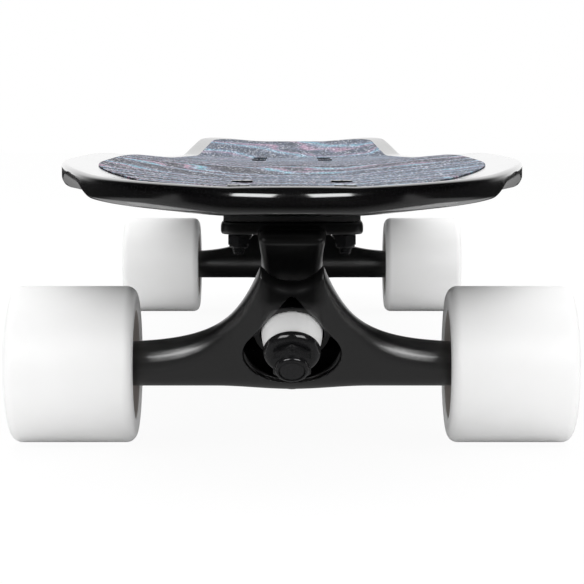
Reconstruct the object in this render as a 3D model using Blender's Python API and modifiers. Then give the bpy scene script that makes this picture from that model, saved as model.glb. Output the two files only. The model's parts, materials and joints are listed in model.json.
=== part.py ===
"""Cruiser skateboard: a lacquered maple deck with a grip sheet, on two reverse kingpin trucks.

The board stands on its wheels with the origin on the floor below its middle. X runs across the
board, Y runs along it with the nose at -Y, and Z is up. All lengths are in metres.
"""

import math
from typing import NamedTuple

import bmesh
import bpy
from mathutils import Matrix, Vector

# Board lengths
WHEELBASE = 0.508
NOSE_OVERHANG = 0.100
TAIL_OVERHANG = 0.124
LENGTH = WHEELBASE + NOSE_OVERHANG + TAIL_OVERHANG

# Deck outline
DECK_WIDTH = 0.2015
WIDEST_BEHIND_AXLE = 0.125
TAIL_WIDTH = 0.126
TAIL_CORNER = 0.022
TAIL_TAPER_POWER = 1.9

# Deck section and its rise along the board
DECK_THICKNESS = 0.0095
RAIL_ROUND = 0.0042
FLAT_HALF_WIDTH = 0.0215
FLAT_SHARE = 0.3
CONCAVE_POWER = 1.25
FRONT_CONCAVE = 0.0095
REAR_CONCAVE = 0.0036
CONCAVE_FADE_START = 0.040
TAIL_DISH = 0.0055
CAMBER = 0.0024
NOSE_RISE = 0.0046
NOSE_RISE_START = 0.014
NOSE_RISE_POWER = 1.6
KICK_START = 0.034
KICK_ANGLE = math.radians(7.0)
KICK_BEND_RADIUS = 0.160

# Wheel wells milled in the underside
WELL_RADIUS = 0.120
WELL_SLOPE = math.radians(35.0)
WELL_REACH = 0.0105
WELL_SHIFT = 0.005
WELL_LENGTH = 0.06

# Grip sheet
GRIP_THICKNESS = 0.0009
GRIP_SIDE_INSET = 0.0155
GRIP_NOSE_INSET = 0.027
GRIP_TAIL_INSET = 0.009

# Clearances between touching pieces and round a sliding fit
SEAT_GAP = 0.0003
FIT_GAP = 0.0003

# How far a cut runs clear of the piece that it opens, and how close two points have to be to become one
CUT_CLEAR = 0.010
MERGE_DISTANCE = 0.00002

# Wheels, bearings and axle
WHEEL_RADIUS = 0.0305
WHEEL_WIDTH = 0.0485
WHEEL_LIP = 0.0040
WHEEL_RECESS_RADIUS = 0.0212
BEARING_RADIUS = 0.011
BEARING_WIDTH = 0.007
SPACER_WIDTH = 0.010
SPACER_RADIUS = 0.0056
HUB_SHOULDER = 0.0020
RECESS_DRAFT = 0.0020
RECESS_RISE = 0.0030
RECESS_EDGE = 0.0003
SHIELD_DEPTH = 0.0005
INNER_RACE_WALL = 0.0022
OUTER_RACE_WALL = 0.0016
AXLE_RADIUS = 0.0040
AXLE_LENGTH = 0.2150
AXLE_PAST_WHEEL_MIDDLE = 0.02275
AXLE_CHAMFER = 0.0008
WASHER_RADIUS = 0.0065
WASHER_THICKNESS = 0.0010
AXLE_NUT_FLATS = 0.0127
AXLE_NUT_HEIGHT = 0.0052
AXLE_NUT_COLLAR = 0.0016

# Riser pad and baseplate
RISER_HEIGHT = 0.00255
RISER_MARGIN = 0.0010
RISER_WINDOW_WIDTH = 0.024
RISER_WINDOW_LENGTH = 0.034
RISER_WINDOW_CORNER = 0.008
PLATE_THICKNESS = 0.0048
PLATE_WIDTH = 0.055
PLATE_OUTBOARD = 0.0115
PLATE_INBOARD = 0.0735
PLATE_CORNER = 0.007
PLATE_EDGE_ROUND = 0.0009
DECK_UNDERSIDE = 0.0897

# Deck bolts in the two row pattern, 41.3 mm across
BOLT_SPACING = 0.041275
BOLT_ROW_OUTBOARD = 0.003
BOLT_ROW_PITCH = 0.05398
SPARE_ROW_PITCH = 0.0635
BOLT_RADIUS = 0.0024
BOLT_HEAD_RADIUS = 0.0046
BOLT_HEAD_RIM = 0.0006
BOLT_HEAD_CONE = 0.0024
BOLT_PROUD = 0.0006
BOLT_LENGTH = 0.0268
CROSS_WIDTH = 0.0011
CROSS_SPAN = 0.0052
CROSS_DEPTH = 0.0015
DECK_NUT_FLATS = 0.0080
DECK_NUT_HEIGHT = 0.0040
DECK_NUT_COLLAR = 0.0013

# Kingpin and what is threaded on it; places are measured along it from the middle of the hanger's ring
KINGPIN_SLOPE = math.radians(40.0)
RING_ABOVE_AXLE = 0.0226
KINGPIN_RADIUS = 0.00475
KINGPIN_HEAD_FLATS = 0.0142
KINGPIN_HEAD_HEIGHT = 0.0060
KINGPIN_SHOULDER = 0.0280
KINGPIN_TIP = 0.0236
BUSHING_RADIUS = 0.0117
BUSHING_CHAMFER = 0.0008
BUSHING_STRAIGHT = 0.0070
ROADSIDE_BUSHING_HEIGHT = 0.0129
BOARDSIDE_BUSHING_HEIGHT = 0.0117
BOARDSIDE_BUSHING_RADIUS = 0.0107
CUP_WASHER_RADIUS = 0.0110
CUP_WASHER_THICKNESS = 0.0015
CUP_WASHER_LIP = 0.0019
CUP_WASHER_WALL = 0.0011
CUP_WASHER_CHAMFER = 0.0014
FLAT_WASHER_RADIUS = 0.0105
KINGPIN_NUT_FLATS = 0.0142
KINGPIN_NUT_HEIGHT = 0.0050
KINGPIN_NUT_COLLAR = 0.0020
NUT_COLLAR_SHARE = 0.92
COLLAR_OVERLAP = 0.0010

# Steering pivot, measured from the middle of the hanger's ring
PIVOT_BELOW_RING = 0.0370
PIVOT_BEHIND_RING = 0.0140
PIVOT_BALL_RADIUS = 0.0045
PIVOT_STEM_RADIUS = 0.0065
PIVOT_STEM_STRAIGHT = 0.0060
PIVOT_STEM_LENGTH = 0.0250
PIVOT_CUP_WALL = 0.0018
PIVOT_CUP_RIM = 0.0030
PIVOT_HOUSING_WALL = 0.0018
PIVOT_HOUSING_ROUND = 0.0012
PIVOT_HOUSING_RIM = 0.0024

# Hanger casting: heights are measured from the axle towards the ring, in the ring's own plane
TUBE_RADIUS = 0.0085
BEAM_RADIUS = 0.0098
BEAM_SWELL_LENGTH = 0.030
BEAM_EDGE_STEP = 0.0002
EDGE_FLARE = math.radians(30.0)
ARM_RISE = 0.1087
ARM_FADE = 0.0129
ARM_EDGE_RADIUS = 0.0047
ARM_EDGE_GROWTH = 0.020
SADDLE_HEIGHT = 0.0414
SADDLE_RADIUS = 0.0126
SADDLE_STRETCH = 1.15
RING_RADIUS = 0.0145
RING_WALL = 0.0024
RING_WEB = 0.0025
RING_LIP = 0.0055
RING_BORE = 0.0080
RING_BRIDGE_WIDTH = 0.0150
RING_BRIDGE_FOOT = 0.0040
RING_BRIDGE_BACK = 0.0035
RING_BRIDGE_HEIGHT = 0.0138
SPOT_FACE_RADIUS = 0.0155
SPOT_FACE_DEPTH = 0.0052
POCKET_HALF_WIDTH = 0.0190
POCKET_HALF_HEIGHT = 0.0118
POCKET_CENTRE_ABOVE_AXLE = 0.0055
POCKET_PEAK_ABOVE_AXLE = 0.0303
POCKET_PEAK_RADIUS = 0.0024
POCKET_SIDE_TURN = math.radians(35.0)
POCKET_PEAK_TURN = math.radians(65.0)
POCKET_REACH = 0.030
END_SHOULDER_OVERLAP = 0.0020
POCKET_FLOOR = 0.0025
BEAM_POCKET_FLOOR = 0.0060
BEAM_POCKET_TOP = 0.0125

# Baseplate neck, boss and pivot leg
BOSS_RADIUS = 0.0122
BOSS_RIM = 0.0105
BOSS_SEAT = 0.0163
BOSS_BACK = 0.0420
BOSS_RECESS_WALL = 0.0011
NECK_INBOARD = 0.0200
NECK_BACK = 0.0395
NECK_SHOULDER_REACH = 0.0280
NECK_SHOULDER_CHAMFER = (0.0040, 0.0030)
NECK_SHOULDER_UNDERCUT = 0.0010
NECK_SHOULDER_DROP = 0.0020
NECK_SHOULDER_DEPTH = 0.0055
NECK_HALF_WIDTH = 0.0132
NECK_TAPER = 0.15
NECK_ROUND = 0.0032
LEG_HALF_WIDTH = 0.0080
LEG_WEB = 0.0032
LEG_ROUND = 0.0022
LEG_START = 0.0260
LEG_HEEL = 0.0090
LEG_HEEL_CHAMFER = (0.0020, 0.0060)
LEG_BACK = (0.0075, 0.0035)
LEG_TOE = (0.0015, 0.0030)
LEG_THROAT = (0.0005, 0.0080)
LEG_BROW = (0.0045, 0.0340)
LEG_POCKET_START = 0.0370
LEG_POCKET_DROP = 0.0060
LEG_POCKET_HEEL = 0.0110
LEG_POCKET_TOE = (0.0085, 0.0055)
LEG_POCKET_RISE = 0.0170

# Roundness of the turned pieces
WHEEL_STEPS = 24
WELL_STEPS = 72
RING_STEPS = 20
BUSHING_STEPS = 16
SMALL_STEPS = 10
HOLE_STEPS = 8

# Ribs and points that the swept shapes are drawn with
DECK_COLUMNS = 3
DECK_ROWS = (9, 14, 3)
GRIP_ROWS = (9, 8, 3)
EDGE_POINTS = 5
BEAM_POINTS = 9
SADDLE_RIBS = 3
ARM_RIBS = 8
ARM_RIB_SPREAD = 0.85
POCKET_POINTS = 10
PEAK_POINTS = 3
HORN_SEARCHES = 30

FRONT_AXLE_Y = -LENGTH / 2 + NOSE_OVERHANG
REAR_AXLE_Y = LENGTH / 2 - TAIL_OVERHANG
DECK_TOP = DECK_UNDERSIDE + DECK_THICKNESS
BOLT_HEAD_TOP = DECK_TOP + SEAT_GAP + GRIP_THICKNESS + BOLT_PROUD
PLATE_TOP = DECK_UNDERSIDE - RISER_HEIGHT - 2 * SEAT_GAP
PLATE_UNDERSIDE = PLATE_TOP - PLATE_THICKNESS
BOLT_ROWS = (BOLT_ROW_OUTBOARD, BOLT_ROW_OUTBOARD - BOLT_ROW_PITCH)
SPARE_ROW = BOLT_ROW_OUTBOARD - SPARE_ROW_PITCH
WHEEL_CENTRE = AXLE_LENGTH / 2 - AXLE_PAST_WHEEL_MIDDLE
BEARING_OFFSET = (SPACER_WIDTH + BEARING_WIDTH) / 2
BEARING_SEAT = BEARING_OFFSET + BEARING_WIDTH / 2 + SEAT_GAP
HANGER_HALF_LENGTH = WHEEL_CENTRE - BEARING_SEAT - WASHER_THICKNESS

UP = Vector((0.0, 0.0, 1.0))
ACROSS = Vector((1.0, 0.0, 0.0))


class Outline(NamedTuple):
    """The plan of the deck or of the grip sheet: an elliptic nose and a tapered, square tail."""

    nose_y: float
    tail_y: float
    half_widest: float
    half_tail: float
    corner: float

    def half_width(self, y):
        widest_y = FRONT_AXLE_Y + WIDEST_BEHIND_AXLE
        if y < widest_y:
            along = (widest_y - y) / (widest_y - self.nose_y)
            return self.half_widest * math.sqrt(max(0.0, 1.0 - along**2))
        along = (y - widest_y) / (self.tail_y - widest_y)
        half = self.half_widest - (self.half_widest - self.half_tail) * along**TAIL_TAPER_POWER
        past = max(0.0, (y - self.tail_y + self.corner) / self.corner)
        return half - self.corner * (1.0 - math.sqrt(max(0.0, 1.0 - past**2)))

    def stations(self, nose_rows, body_rows, corner_rows):
        """Places along the board, closer together where the outline turns."""
        widest_y = FRONT_AXLE_Y + WIDEST_BEHIND_AXLE
        corner_y = self.tail_y - self.corner
        places = []
        for row in range(nose_rows):
            turn = row / nose_rows * math.pi / 2
            places.append(self.nose_y + (widest_y - self.nose_y) * (1.0 - math.cos(turn)))
        for row in range(body_rows):
            places.append(widest_y + (corner_y - widest_y) * row / body_rows)
        for row in range(corner_rows + 1):
            turn = row / corner_rows * math.pi / 2
            places.append(corner_y + self.corner * math.sin(turn))
        return places


DECK_OUTLINE = Outline(-LENGTH / 2, LENGTH / 2, DECK_WIDTH / 2, TAIL_WIDTH / 2, TAIL_CORNER)
GRIP_OUTLINE = Outline(
    DECK_OUTLINE.nose_y + GRIP_NOSE_INSET,
    DECK_OUTLINE.tail_y - GRIP_TAIL_INSET,
    DECK_OUTLINE.half_widest - GRIP_SIDE_INSET,
    DECK_OUTLINE.half_tail - GRIP_TAIL_INSET,
    TAIL_CORNER - GRIP_TAIL_INSET / 2,
)


def ease(value):
    """A smooth step from 0 to 1."""
    value = min(1.0, max(0.0, value))
    return value * value * (3.0 - 2.0 * value)


def centre_rise(y):
    """How far the middle of the deck lies above its flat truck platforms."""
    front_flat_end = FRONT_AXLE_Y + PLATE_INBOARD
    rear_flat_start = REAR_AXLE_Y - PLATE_INBOARD
    between = (y - front_flat_end) / (rear_flat_start - front_flat_end)
    rise = CAMBER * math.sin(math.pi * min(1.0, max(0.0, between))) ** 2
    nose_start = FRONT_AXLE_Y - NOSE_RISE_START
    if y < nose_start:
        rise += NOSE_RISE * ((nose_start - y) / (nose_start - DECK_OUTLINE.nose_y)) ** NOSE_RISE_POWER
    bend_half = KICK_BEND_RADIUS * KICK_ANGLE / 2
    past = y - (REAR_AXLE_Y + KICK_START)
    if past > bend_half:
        rise += past * math.tan(KICK_ANGLE)
    elif past > -bend_half:
        rise += (past + bend_half) ** 2 / (2 * KICK_BEND_RADIUS)
    return rise


def concave_rise(x, y):
    """How far the rails rise above the middle, across the board."""
    kick_y = REAR_AXLE_Y + KICK_START
    towards_rear = ease((y - FRONT_AXLE_Y - CONCAVE_FADE_START) / WHEELBASE)
    depth = FRONT_CONCAVE + (REAR_CONCAVE - FRONT_CONCAVE) * towards_rear
    depth += TAIL_DISH * ease((y - kick_y) / (DECK_OUTLINE.tail_y - kick_y))
    past_flat = max(0.0, abs(x) - FLAT_HALF_WIDTH) / (DECK_OUTLINE.half_widest - FLAT_HALF_WIDTH)
    return depth * past_flat**CONCAVE_POWER


def deck_surface(x, y):
    return Vector((x, y, DECK_TOP + centre_rise(y) + concave_rise(x, y)))


def clear_scene():
    for obj in list(bpy.data.objects):
        bpy.data.objects.remove(obj)
    for mesh in list(bpy.data.meshes):
        bpy.data.meshes.remove(mesh)


def new_collection(name):
    collection = bpy.data.collections.new(name)
    bpy.context.scene.collection.children.link(collection)
    return collection


clear_scene()
BOARD = new_collection("cruiser_skateboard")
CUTTERS = new_collection("cutters")


def new_material(name, colour, roughness, metallic=0.0):
    material = bpy.data.materials.new(name)
    material.use_nodes = True
    shader = material.node_tree.nodes["Principled BSDF"]
    shader.inputs["Base Color"].default_value = (*colour, 1.0)
    shader.inputs["Roughness"].default_value = roughness
    shader.inputs["Metallic"].default_value = metallic
    return material


def add_object(name, mesh, collection, parent=None, matrix=None):
    obj = bpy.data.objects.new(name, mesh)
    collection.objects.link(obj)
    obj.parent = parent
    if matrix is not None:
        obj.matrix_local = matrix
    return obj


def tool_shape(name, mesh):
    """A shape that only cuts or extends another one."""
    obj = add_object(name, mesh, CUTTERS)
    obj.hide_render = True
    obj.display_type = "WIRE"
    return obj


def mesh_of(name, working):
    mesh = bpy.data.meshes.new(name)
    working.to_mesh(mesh)
    working.free()
    return mesh


def frame_along(direction, place):
    """A matrix whose Z axis lies along the direction, at the place."""
    turn = UP.rotation_difference(Vector(direction).normalized()).to_matrix().to_4x4()
    return Matrix.Translation(place) @ turn


def rod(name, radius, start, end, segments=24):
    """A cylinder or a prism between two points."""
    start = Vector(start)
    end = Vector(end)
    working = bmesh.new()
    bmesh.ops.create_cone(
        working,
        cap_ends=True,
        segments=segments,
        radius1=radius,
        radius2=radius,
        depth=(end - start).length,
        matrix=frame_along(end - start, (start + end) / 2),
    )
    return tool_shape(name, mesh_of(name, working))


def block(name, low, high):
    """A box between two opposite corners."""
    low = Vector(low)
    high = Vector(high)
    working = bmesh.new()
    bmesh.ops.create_cube(working, size=1.0)
    bmesh.ops.scale(working, vec=high - low, verts=working.verts)
    bmesh.ops.translate(working, vec=(low + high) / 2, verts=working.verts)
    return tool_shape(name, mesh_of(name, working))


def turned(name, profile, steps, closed=False, matrix=None):
    """A profile of (radius, height) points turned round Z, read down its outer side."""
    mesh = bpy.data.meshes.new(name)
    edges = [(index, index + 1) for index in range(len(profile) - 1)]
    if closed:
        edges.append((len(profile) - 1, 0))
    mesh.from_pydata([(radius, 0.0, height) for radius, height in profile], edges, [])
    obj = tool_shape(name, mesh)
    if matrix is not None:
        obj.matrix_local = matrix
    screw = obj.modifiers.new("Turn", "SCREW")
    screw.steps = steps
    screw.render_steps = steps
    screw.use_merge_vertices = True
    screw.merge_threshold = MERGE_DISTANCE
    return obj


def slab(name, outlines, half_thickness):
    """A flat plate from a closed outline, with any further outlines as holes."""
    curve = bpy.data.curves.new(name, "CURVE")
    curve.dimensions = "2D"
    curve.fill_mode = "BOTH"
    curve.extrude = half_thickness
    for outline in outlines:
        spline = curve.splines.new("POLY")
        spline.points.add(len(outline) - 1)
        for point, (x, y) in zip(spline.points, outline):
            point.co = (x, y, 0.0, 1.0)
        spline.use_cyclic_u = True
    flat = add_object(name, curve, CUTTERS)
    mesh = baked(flat)
    bpy.data.curves.remove(curve)
    working = bmesh.new()
    working.from_mesh(mesh)
    bmesh.ops.remove_doubles(working, verts=working.verts, dist=MERGE_DISTANCE)
    working.to_mesh(mesh)
    working.free()
    return tool_shape(name, mesh)


def move_mesh(obj, matrix):
    obj.data.transform(matrix)
    return obj


def round_edges(obj, width, segments, sharper_than=math.radians(30)):
    bevel = obj.modifiers.new("Rounded edges", "BEVEL")
    bevel.width = width
    bevel.segments = segments
    bevel.limit_method = "ANGLE"
    bevel.angle_limit = sharper_than
    bevel.use_clamp_overlap = True
    return obj


def combine(obj, others, operation):
    for other in others:
        boolean = obj.modifiers.new(operation.title(), "BOOLEAN")
        boolean.operation = operation
        boolean.object = other
    return obj


def baked(obj, helpers=()):
    """The finished mesh of a shape; the shape and its helpers are removed."""
    graph = bpy.context.evaluated_depsgraph_get()
    mesh = bpy.data.meshes.new_from_object(obj.evaluated_get(graph))
    mesh.name = obj.name
    for used in (obj, *helpers):
        bpy.data.objects.remove(used)
    return mesh


def smooth(mesh, sharp=math.radians(32)):
    mesh.shade_smooth()
    mesh.set_sharp_from_angle(angle=sharp)
    return mesh


def circle_points(x, y, radius, count):
    turns = [2 * math.pi * step / count for step in range(count)]
    return [(x + radius * math.cos(turn), y + radius * math.sin(turn)) for turn in turns]


def rounded_rectangle(x_low, x_high, y_low, y_high, radius, steps=3):
    corners = (
        (x_high - radius, y_high - radius, 0.0),
        (x_low + radius, y_high - radius, math.pi / 2),
        (x_low + radius, y_low + radius, math.pi),
        (x_high - radius, y_low + radius, 3 * math.pi / 2),
    )
    points = []
    for x, y, first_turn in corners:
        for step in range(steps + 1):
            turn = first_turn + math.pi / 2 * step / steps
            points.append((x + radius * math.cos(turn), y + radius * math.sin(turn)))
    return points


def arc_profile(radius, start, end, steps, centre=(0.0, 0.0)):
    """Profile points on an arc, the turn measured from straight out at the equator."""
    points = []
    for step in range(steps + 1):
        turn = start + (end - start) * step / steps
        points.append((centre[0] + radius * math.cos(turn), centre[1] + radius * math.sin(turn)))
    return points


def hex_radius(flats):
    return flats / math.sqrt(3)


# Places on one truck, seen from the axle: outboard towards the board's end, and up
def beside(outboard, height, across=0.0):
    return Vector((across, -outboard, height))


def kingpin_frame():
    """X across, Y up from the axle to the ring, Z down the kingpin to its nut."""
    ring_outboard = RING_ABOVE_AXLE * math.sin(KINGPIN_SLOPE)
    ring_height = WHEEL_RADIUS + RING_ABOVE_AXLE * math.cos(KINGPIN_SLOPE)
    turn = Matrix.Rotation(math.pi / 2 + KINGPIN_SLOPE, 4, "X")
    return Matrix.Translation(beside(ring_outboard, ring_height)) @ turn


KINGPIN_FRAME = kingpin_frame()
RING_CENTRE = KINGPIN_FRAME.translation
PIVOT_IN_RING = Vector((0.0, -PIVOT_BELOW_RING, -PIVOT_BEHIND_RING))
STEERING_IN_RING = -PIVOT_IN_RING.normalized()
PIVOT_FRAME_IN_RING = frame_along(STEERING_IN_RING, PIVOT_IN_RING)
PIVOT_FRAME = KINGPIN_FRAME @ PIVOT_FRAME_IN_RING


def on_kingpin(along, up=0.0, across=0.0):
    return KINGPIN_FRAME @ Vector((across, up, along))


def bolt_places(rows):
    """The bolt holes of one truck, as (across, outboard)."""
    return [(side * BOLT_SPACING / 2, row) for row in rows for side in (-1, 1)]


def board_grid(name, outline, surface, columns_outside, rows):
    """The open upper skin of the deck or grip: ribs from rail to rail, swept along the board."""
    stations = outline.stations(*rows)
    columns = 2 * columns_outside + 2
    working = bmesh.new()
    bmesh.ops.create_grid(working, x_segments=columns, y_segments=len(stations) - 1, size=0.5)
    for vert in working.verts:
        column = round((vert.co.x + 0.5) * columns)
        y = stations[round((vert.co.y + 0.5) * (len(stations) - 1))]
        half = outline.half_width(y)
        flat = min(FLAT_HALF_WIDTH, half * FLAT_SHARE)
        steps_out = abs(column - columns // 2)
        if steps_out <= 1:
            x = flat * steps_out
        else:
            x = flat + (half - flat) * (steps_out - 1) / columns_outside
        vert.co = surface(math.copysign(x, column - columns // 2), y)
    bmesh.ops.remove_doubles(working, verts=working.verts, dist=MERGE_DISTANCE)
    return mesh_of(name, working)


def thicken(obj, thickness):
    solidify = obj.modifiers.new("Thickness", "SOLIDIFY")
    solidify.thickness = thickness
    solidify.offset = -1.0
    solidify.use_even_offset = True
    return obj


def truck_turns():
    """Where the two trucks stand: the rear one is the front one turned about."""
    front = Matrix.Translation((0.0, FRONT_AXLE_Y, 0.0))
    rear = Matrix.Translation((0.0, REAR_AXLE_Y, 0.0)) @ Matrix.Rotation(math.pi, 4, "Z")
    return (("front", front), ("rear", rear))


def well_cutter(name, axle_y, towards_middle, side):
    """A round cutter that leans up and out through the rail over one wheel."""
    well_y = axle_y + towards_middle * WELL_SHIFT
    x = DECK_OUTLINE.half_width(axle_y) - WELL_REACH
    start = deck_surface(side * x, well_y) - UP * DECK_THICKNESS
    lean = Vector((side * math.cos(WELL_SLOPE), 0.0, math.sin(WELL_SLOPE)))
    inward = Vector((side * math.sin(WELL_SLOPE), 0.0, -math.cos(WELL_SLOPE)))
    axis_start = start + inward * WELL_RADIUS
    low = axis_start - lean * WELL_LENGTH / 2
    return rod(name, WELL_RADIUS, low, axis_start + lean * WELL_LENGTH, WELL_STEPS)


def bolt_hole_cutter(name, place):
    """The drilled and countersunk hole for one deck bolt."""
    shank = BOLT_RADIUS + FIT_GAP
    head = BOLT_HEAD_RADIUS + FIT_GAP
    cone_top = BOLT_HEAD_TOP - BOLT_HEAD_RIM - FIT_GAP
    low = DECK_UNDERSIDE - CUT_CLEAR
    high = BOLT_HEAD_TOP + CUT_CLEAR
    profile = [
        (0.0, high),
        (head, high),
        (head, cone_top),
        (shank, cone_top - BOLT_HEAD_CONE),
        (shank, low),
        (0.0, low),
    ]
    return turned(name, profile, SMALL_STEPS, matrix=Matrix.Translation(place))


def make_deck(wood):
    mesh = board_grid("deck", DECK_OUTLINE, deck_surface, DECK_COLUMNS, DECK_ROWS)
    deck = add_object("deck", mesh, BOARD)
    deck.data.materials.append(wood)
    thicken(deck, DECK_THICKNESS)
    round_edges(deck, RAIL_ROUND, 2, math.radians(50))
    cutters = []
    for (end, turn), towards_middle in zip(truck_turns(), (1, -1)):
        axle_y = turn.translation.y
        for side in (-1, 1):
            cutters.append(well_cutter(f"{end}_well_{side}", axle_y, towards_middle, side))
        for number, (across, outboard) in enumerate(bolt_places(BOLT_ROWS)):
            place = turn @ beside(outboard, 0.0, across)
            cutters.append(bolt_hole_cutter(f"{end}_bolt_hole_{number}", place))
    combine(deck, cutters, "DIFFERENCE")
    return deck


def grip_surface(x, y):
    return deck_surface(x, y) + UP * (SEAT_GAP + GRIP_THICKNESS)


def grip_trim():
    """An upright prism over the grip sheet's plan, to trim the sheet with."""
    right = [(GRIP_OUTLINE.half_width(y), y) for y in GRIP_OUTLINE.stations(*GRIP_ROWS)[1:]]
    left = [(-x, y) for x, y in reversed(right)]
    trim = slab("grip_trim", [[(0.0, GRIP_OUTLINE.nose_y), *right, *left]], DECK_WIDTH / 4)
    return move_mesh(trim, Matrix.Translation(UP * DECK_TOP))


def make_grip(sheet):
    """A sheet laid over the deck's own ribs, trimmed to its outline and punched for the bolts."""
    mesh = board_grid("grip_sheet", DECK_OUTLINE, grip_surface, DECK_COLUMNS, DECK_ROWS)
    grip = add_object("grip_sheet", mesh, BOARD)
    grip.data.materials.append(sheet)
    thicken(grip, GRIP_THICKNESS)
    cutters = []
    for end, turn in truck_turns():
        for number, (across, outboard) in enumerate(bolt_places(BOLT_ROWS)):
            place = turn @ beside(outboard, DECK_TOP, across)
            radius = BOLT_HEAD_RADIUS + FIT_GAP
            low = place - UP * CUT_CLEAR
            cutters.append(rod(f"{end}_grip_hole_{number}", radius, low, place + UP * CUT_CLEAR, SMALL_STEPS))
    combine(grip, [grip_trim()], "INTERSECT")
    combine(grip, cutters, "DIFFERENCE")
    return grip


def riser_mesh():
    half = PLATE_WIDTH / 2 - RISER_MARGIN
    y_low = -(PLATE_OUTBOARD - RISER_MARGIN)
    y_high = PLATE_INBOARD - RISER_MARGIN
    outlines = [rounded_rectangle(-half, half, y_low, y_high, PLATE_CORNER - RISER_MARGIN)]
    for across, outboard in bolt_places((*BOLT_ROWS, SPARE_ROW)):
        outlines.append(circle_points(across, -outboard, BOLT_RADIUS + FIT_GAP, HOLE_STEPS))
    window_middle = -(BOLT_ROWS[0] + BOLT_ROWS[1]) / 2
    half_window = RISER_WINDOW_LENGTH / 2
    outlines.append(
        rounded_rectangle(
            -RISER_WINDOW_WIDTH / 2,
            RISER_WINDOW_WIDTH / 2,
            window_middle - half_window,
            window_middle + half_window,
            RISER_WINDOW_CORNER,
        )
    )
    pad = slab("riser_pad", outlines, RISER_HEIGHT / 2)
    move_mesh(pad, Matrix.Translation(UP * (DECK_UNDERSIDE - SEAT_GAP - RISER_HEIGHT / 2)))
    return baked(pad)


def side_slab(name, profile, half_width):
    """An outline drawn in the truck's side view, as (outboard, height), made solid across."""
    standing = Matrix(((0, 0, -1, 0), (-1, 0, 0, 0), (0, 1, 0, 0), (0, 0, 0, 1)))
    return move_mesh(slab(name, [profile], half_width), standing)


def neck_shape():
    """The rounded neck between the mounting plate and the kingpin boss, wider at the top."""
    rim = -BOSS_RIM - SEAT_GAP
    rim_front = on_kingpin(rim, BOSS_RADIUS)
    rim_middle = on_kingpin(rim)
    back = on_kingpin(-NECK_BACK)
    shoulder_top = PLATE_TOP - NECK_SHOULDER_DROP
    shoulder_front = shoulder_top - NECK_SHOULDER_DEPTH
    face_rise = (NECK_SHOULDER_REACH + rim_front.y) / math.tan(KINGPIN_SLOPE)
    chamfer_back, chamfer_down = NECK_SHOULDER_CHAMFER
    profile = [
        (-NECK_INBOARD, PLATE_TOP - PLATE_THICKNESS / 2),
        (PLATE_OUTBOARD, shoulder_top),
        (NECK_SHOULDER_REACH - chamfer_back, shoulder_top),
        (NECK_SHOULDER_REACH, shoulder_top - chamfer_down),
        (NECK_SHOULDER_REACH - NECK_SHOULDER_UNDERCUT, min(shoulder_front, rim_front.z + face_rise)),
        (-rim_front.y, rim_front.z),
        (-rim_middle.y, rim_middle.z),
        (-back.y, back.z),
    ]
    neck = side_slab("neck", profile, NECK_HALF_WIDTH)
    for vert in neck.data.vertices:
        narrower = NECK_TAPER * (shoulder_top - vert.co.z) / NECK_HALF_WIDTH
        vert.co.x *= 1.0 - max(0.0, narrower)
    return round_edges(neck, NECK_ROUND, 2)


def stepped(place, step, inboard=1, up=1):
    """A side view point (outboard, height) moved from a place by a step (inboard, up)."""
    return (-place.y - inboard * step[0], place.z + up * step[1])


def leg_shape():
    """The leg that carries the pivot cup below the inboard end of the plate."""
    seat = PIVOT_FRAME @ Vector((0.0, 0.0, -PIVOT_BALL_RADIUS / 2))
    deep = PIVOT_FRAME @ Vector((0.0, 0.0, -PIVOT_BALL_RADIUS - PIVOT_CUP_WALL))
    inside = PLATE_TOP - PLATE_THICKNESS / 2
    heel = LEG_HEEL - PLATE_INBOARD
    profile = [
        (-LEG_START, inside),
        (heel, inside),
        (heel + LEG_HEEL_CHAMFER[0], PLATE_UNDERSIDE - LEG_HEEL_CHAMFER[1]),
        stepped(deep, LEG_BACK),
        stepped(deep, LEG_TOE, up=-1),
        (-seat.y, seat.z),
        stepped(seat, LEG_THROAT, inboard=-1),
        stepped(seat, LEG_BROW),
    ]
    leg = round_edges(side_slab("leg", profile, LEG_HALF_WIDTH), LEG_ROUND, 1)
    pocket_top = PLATE_UNDERSIDE - LEG_POCKET_DROP
    pocket_profile = [
        (-LEG_POCKET_START, pocket_top),
        (heel + LEG_POCKET_HEEL, pocket_top),
        *[(-deep.y - toe, deep.z + LEG_POCKET_RISE) for toe in LEG_POCKET_TOE],
    ]
    pockets = []
    for side in (-1, 1):
        pocket = side_slab(f"leg_pocket_{side}", pocket_profile, LEG_HALF_WIDTH / 2)
        offset = ACROSS * side * (LEG_WEB + LEG_HALF_WIDTH / 2)
        pockets.append(move_mesh(pocket, Matrix.Translation(offset)))
    return combine(leg, pockets, "DIFFERENCE"), pockets


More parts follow.
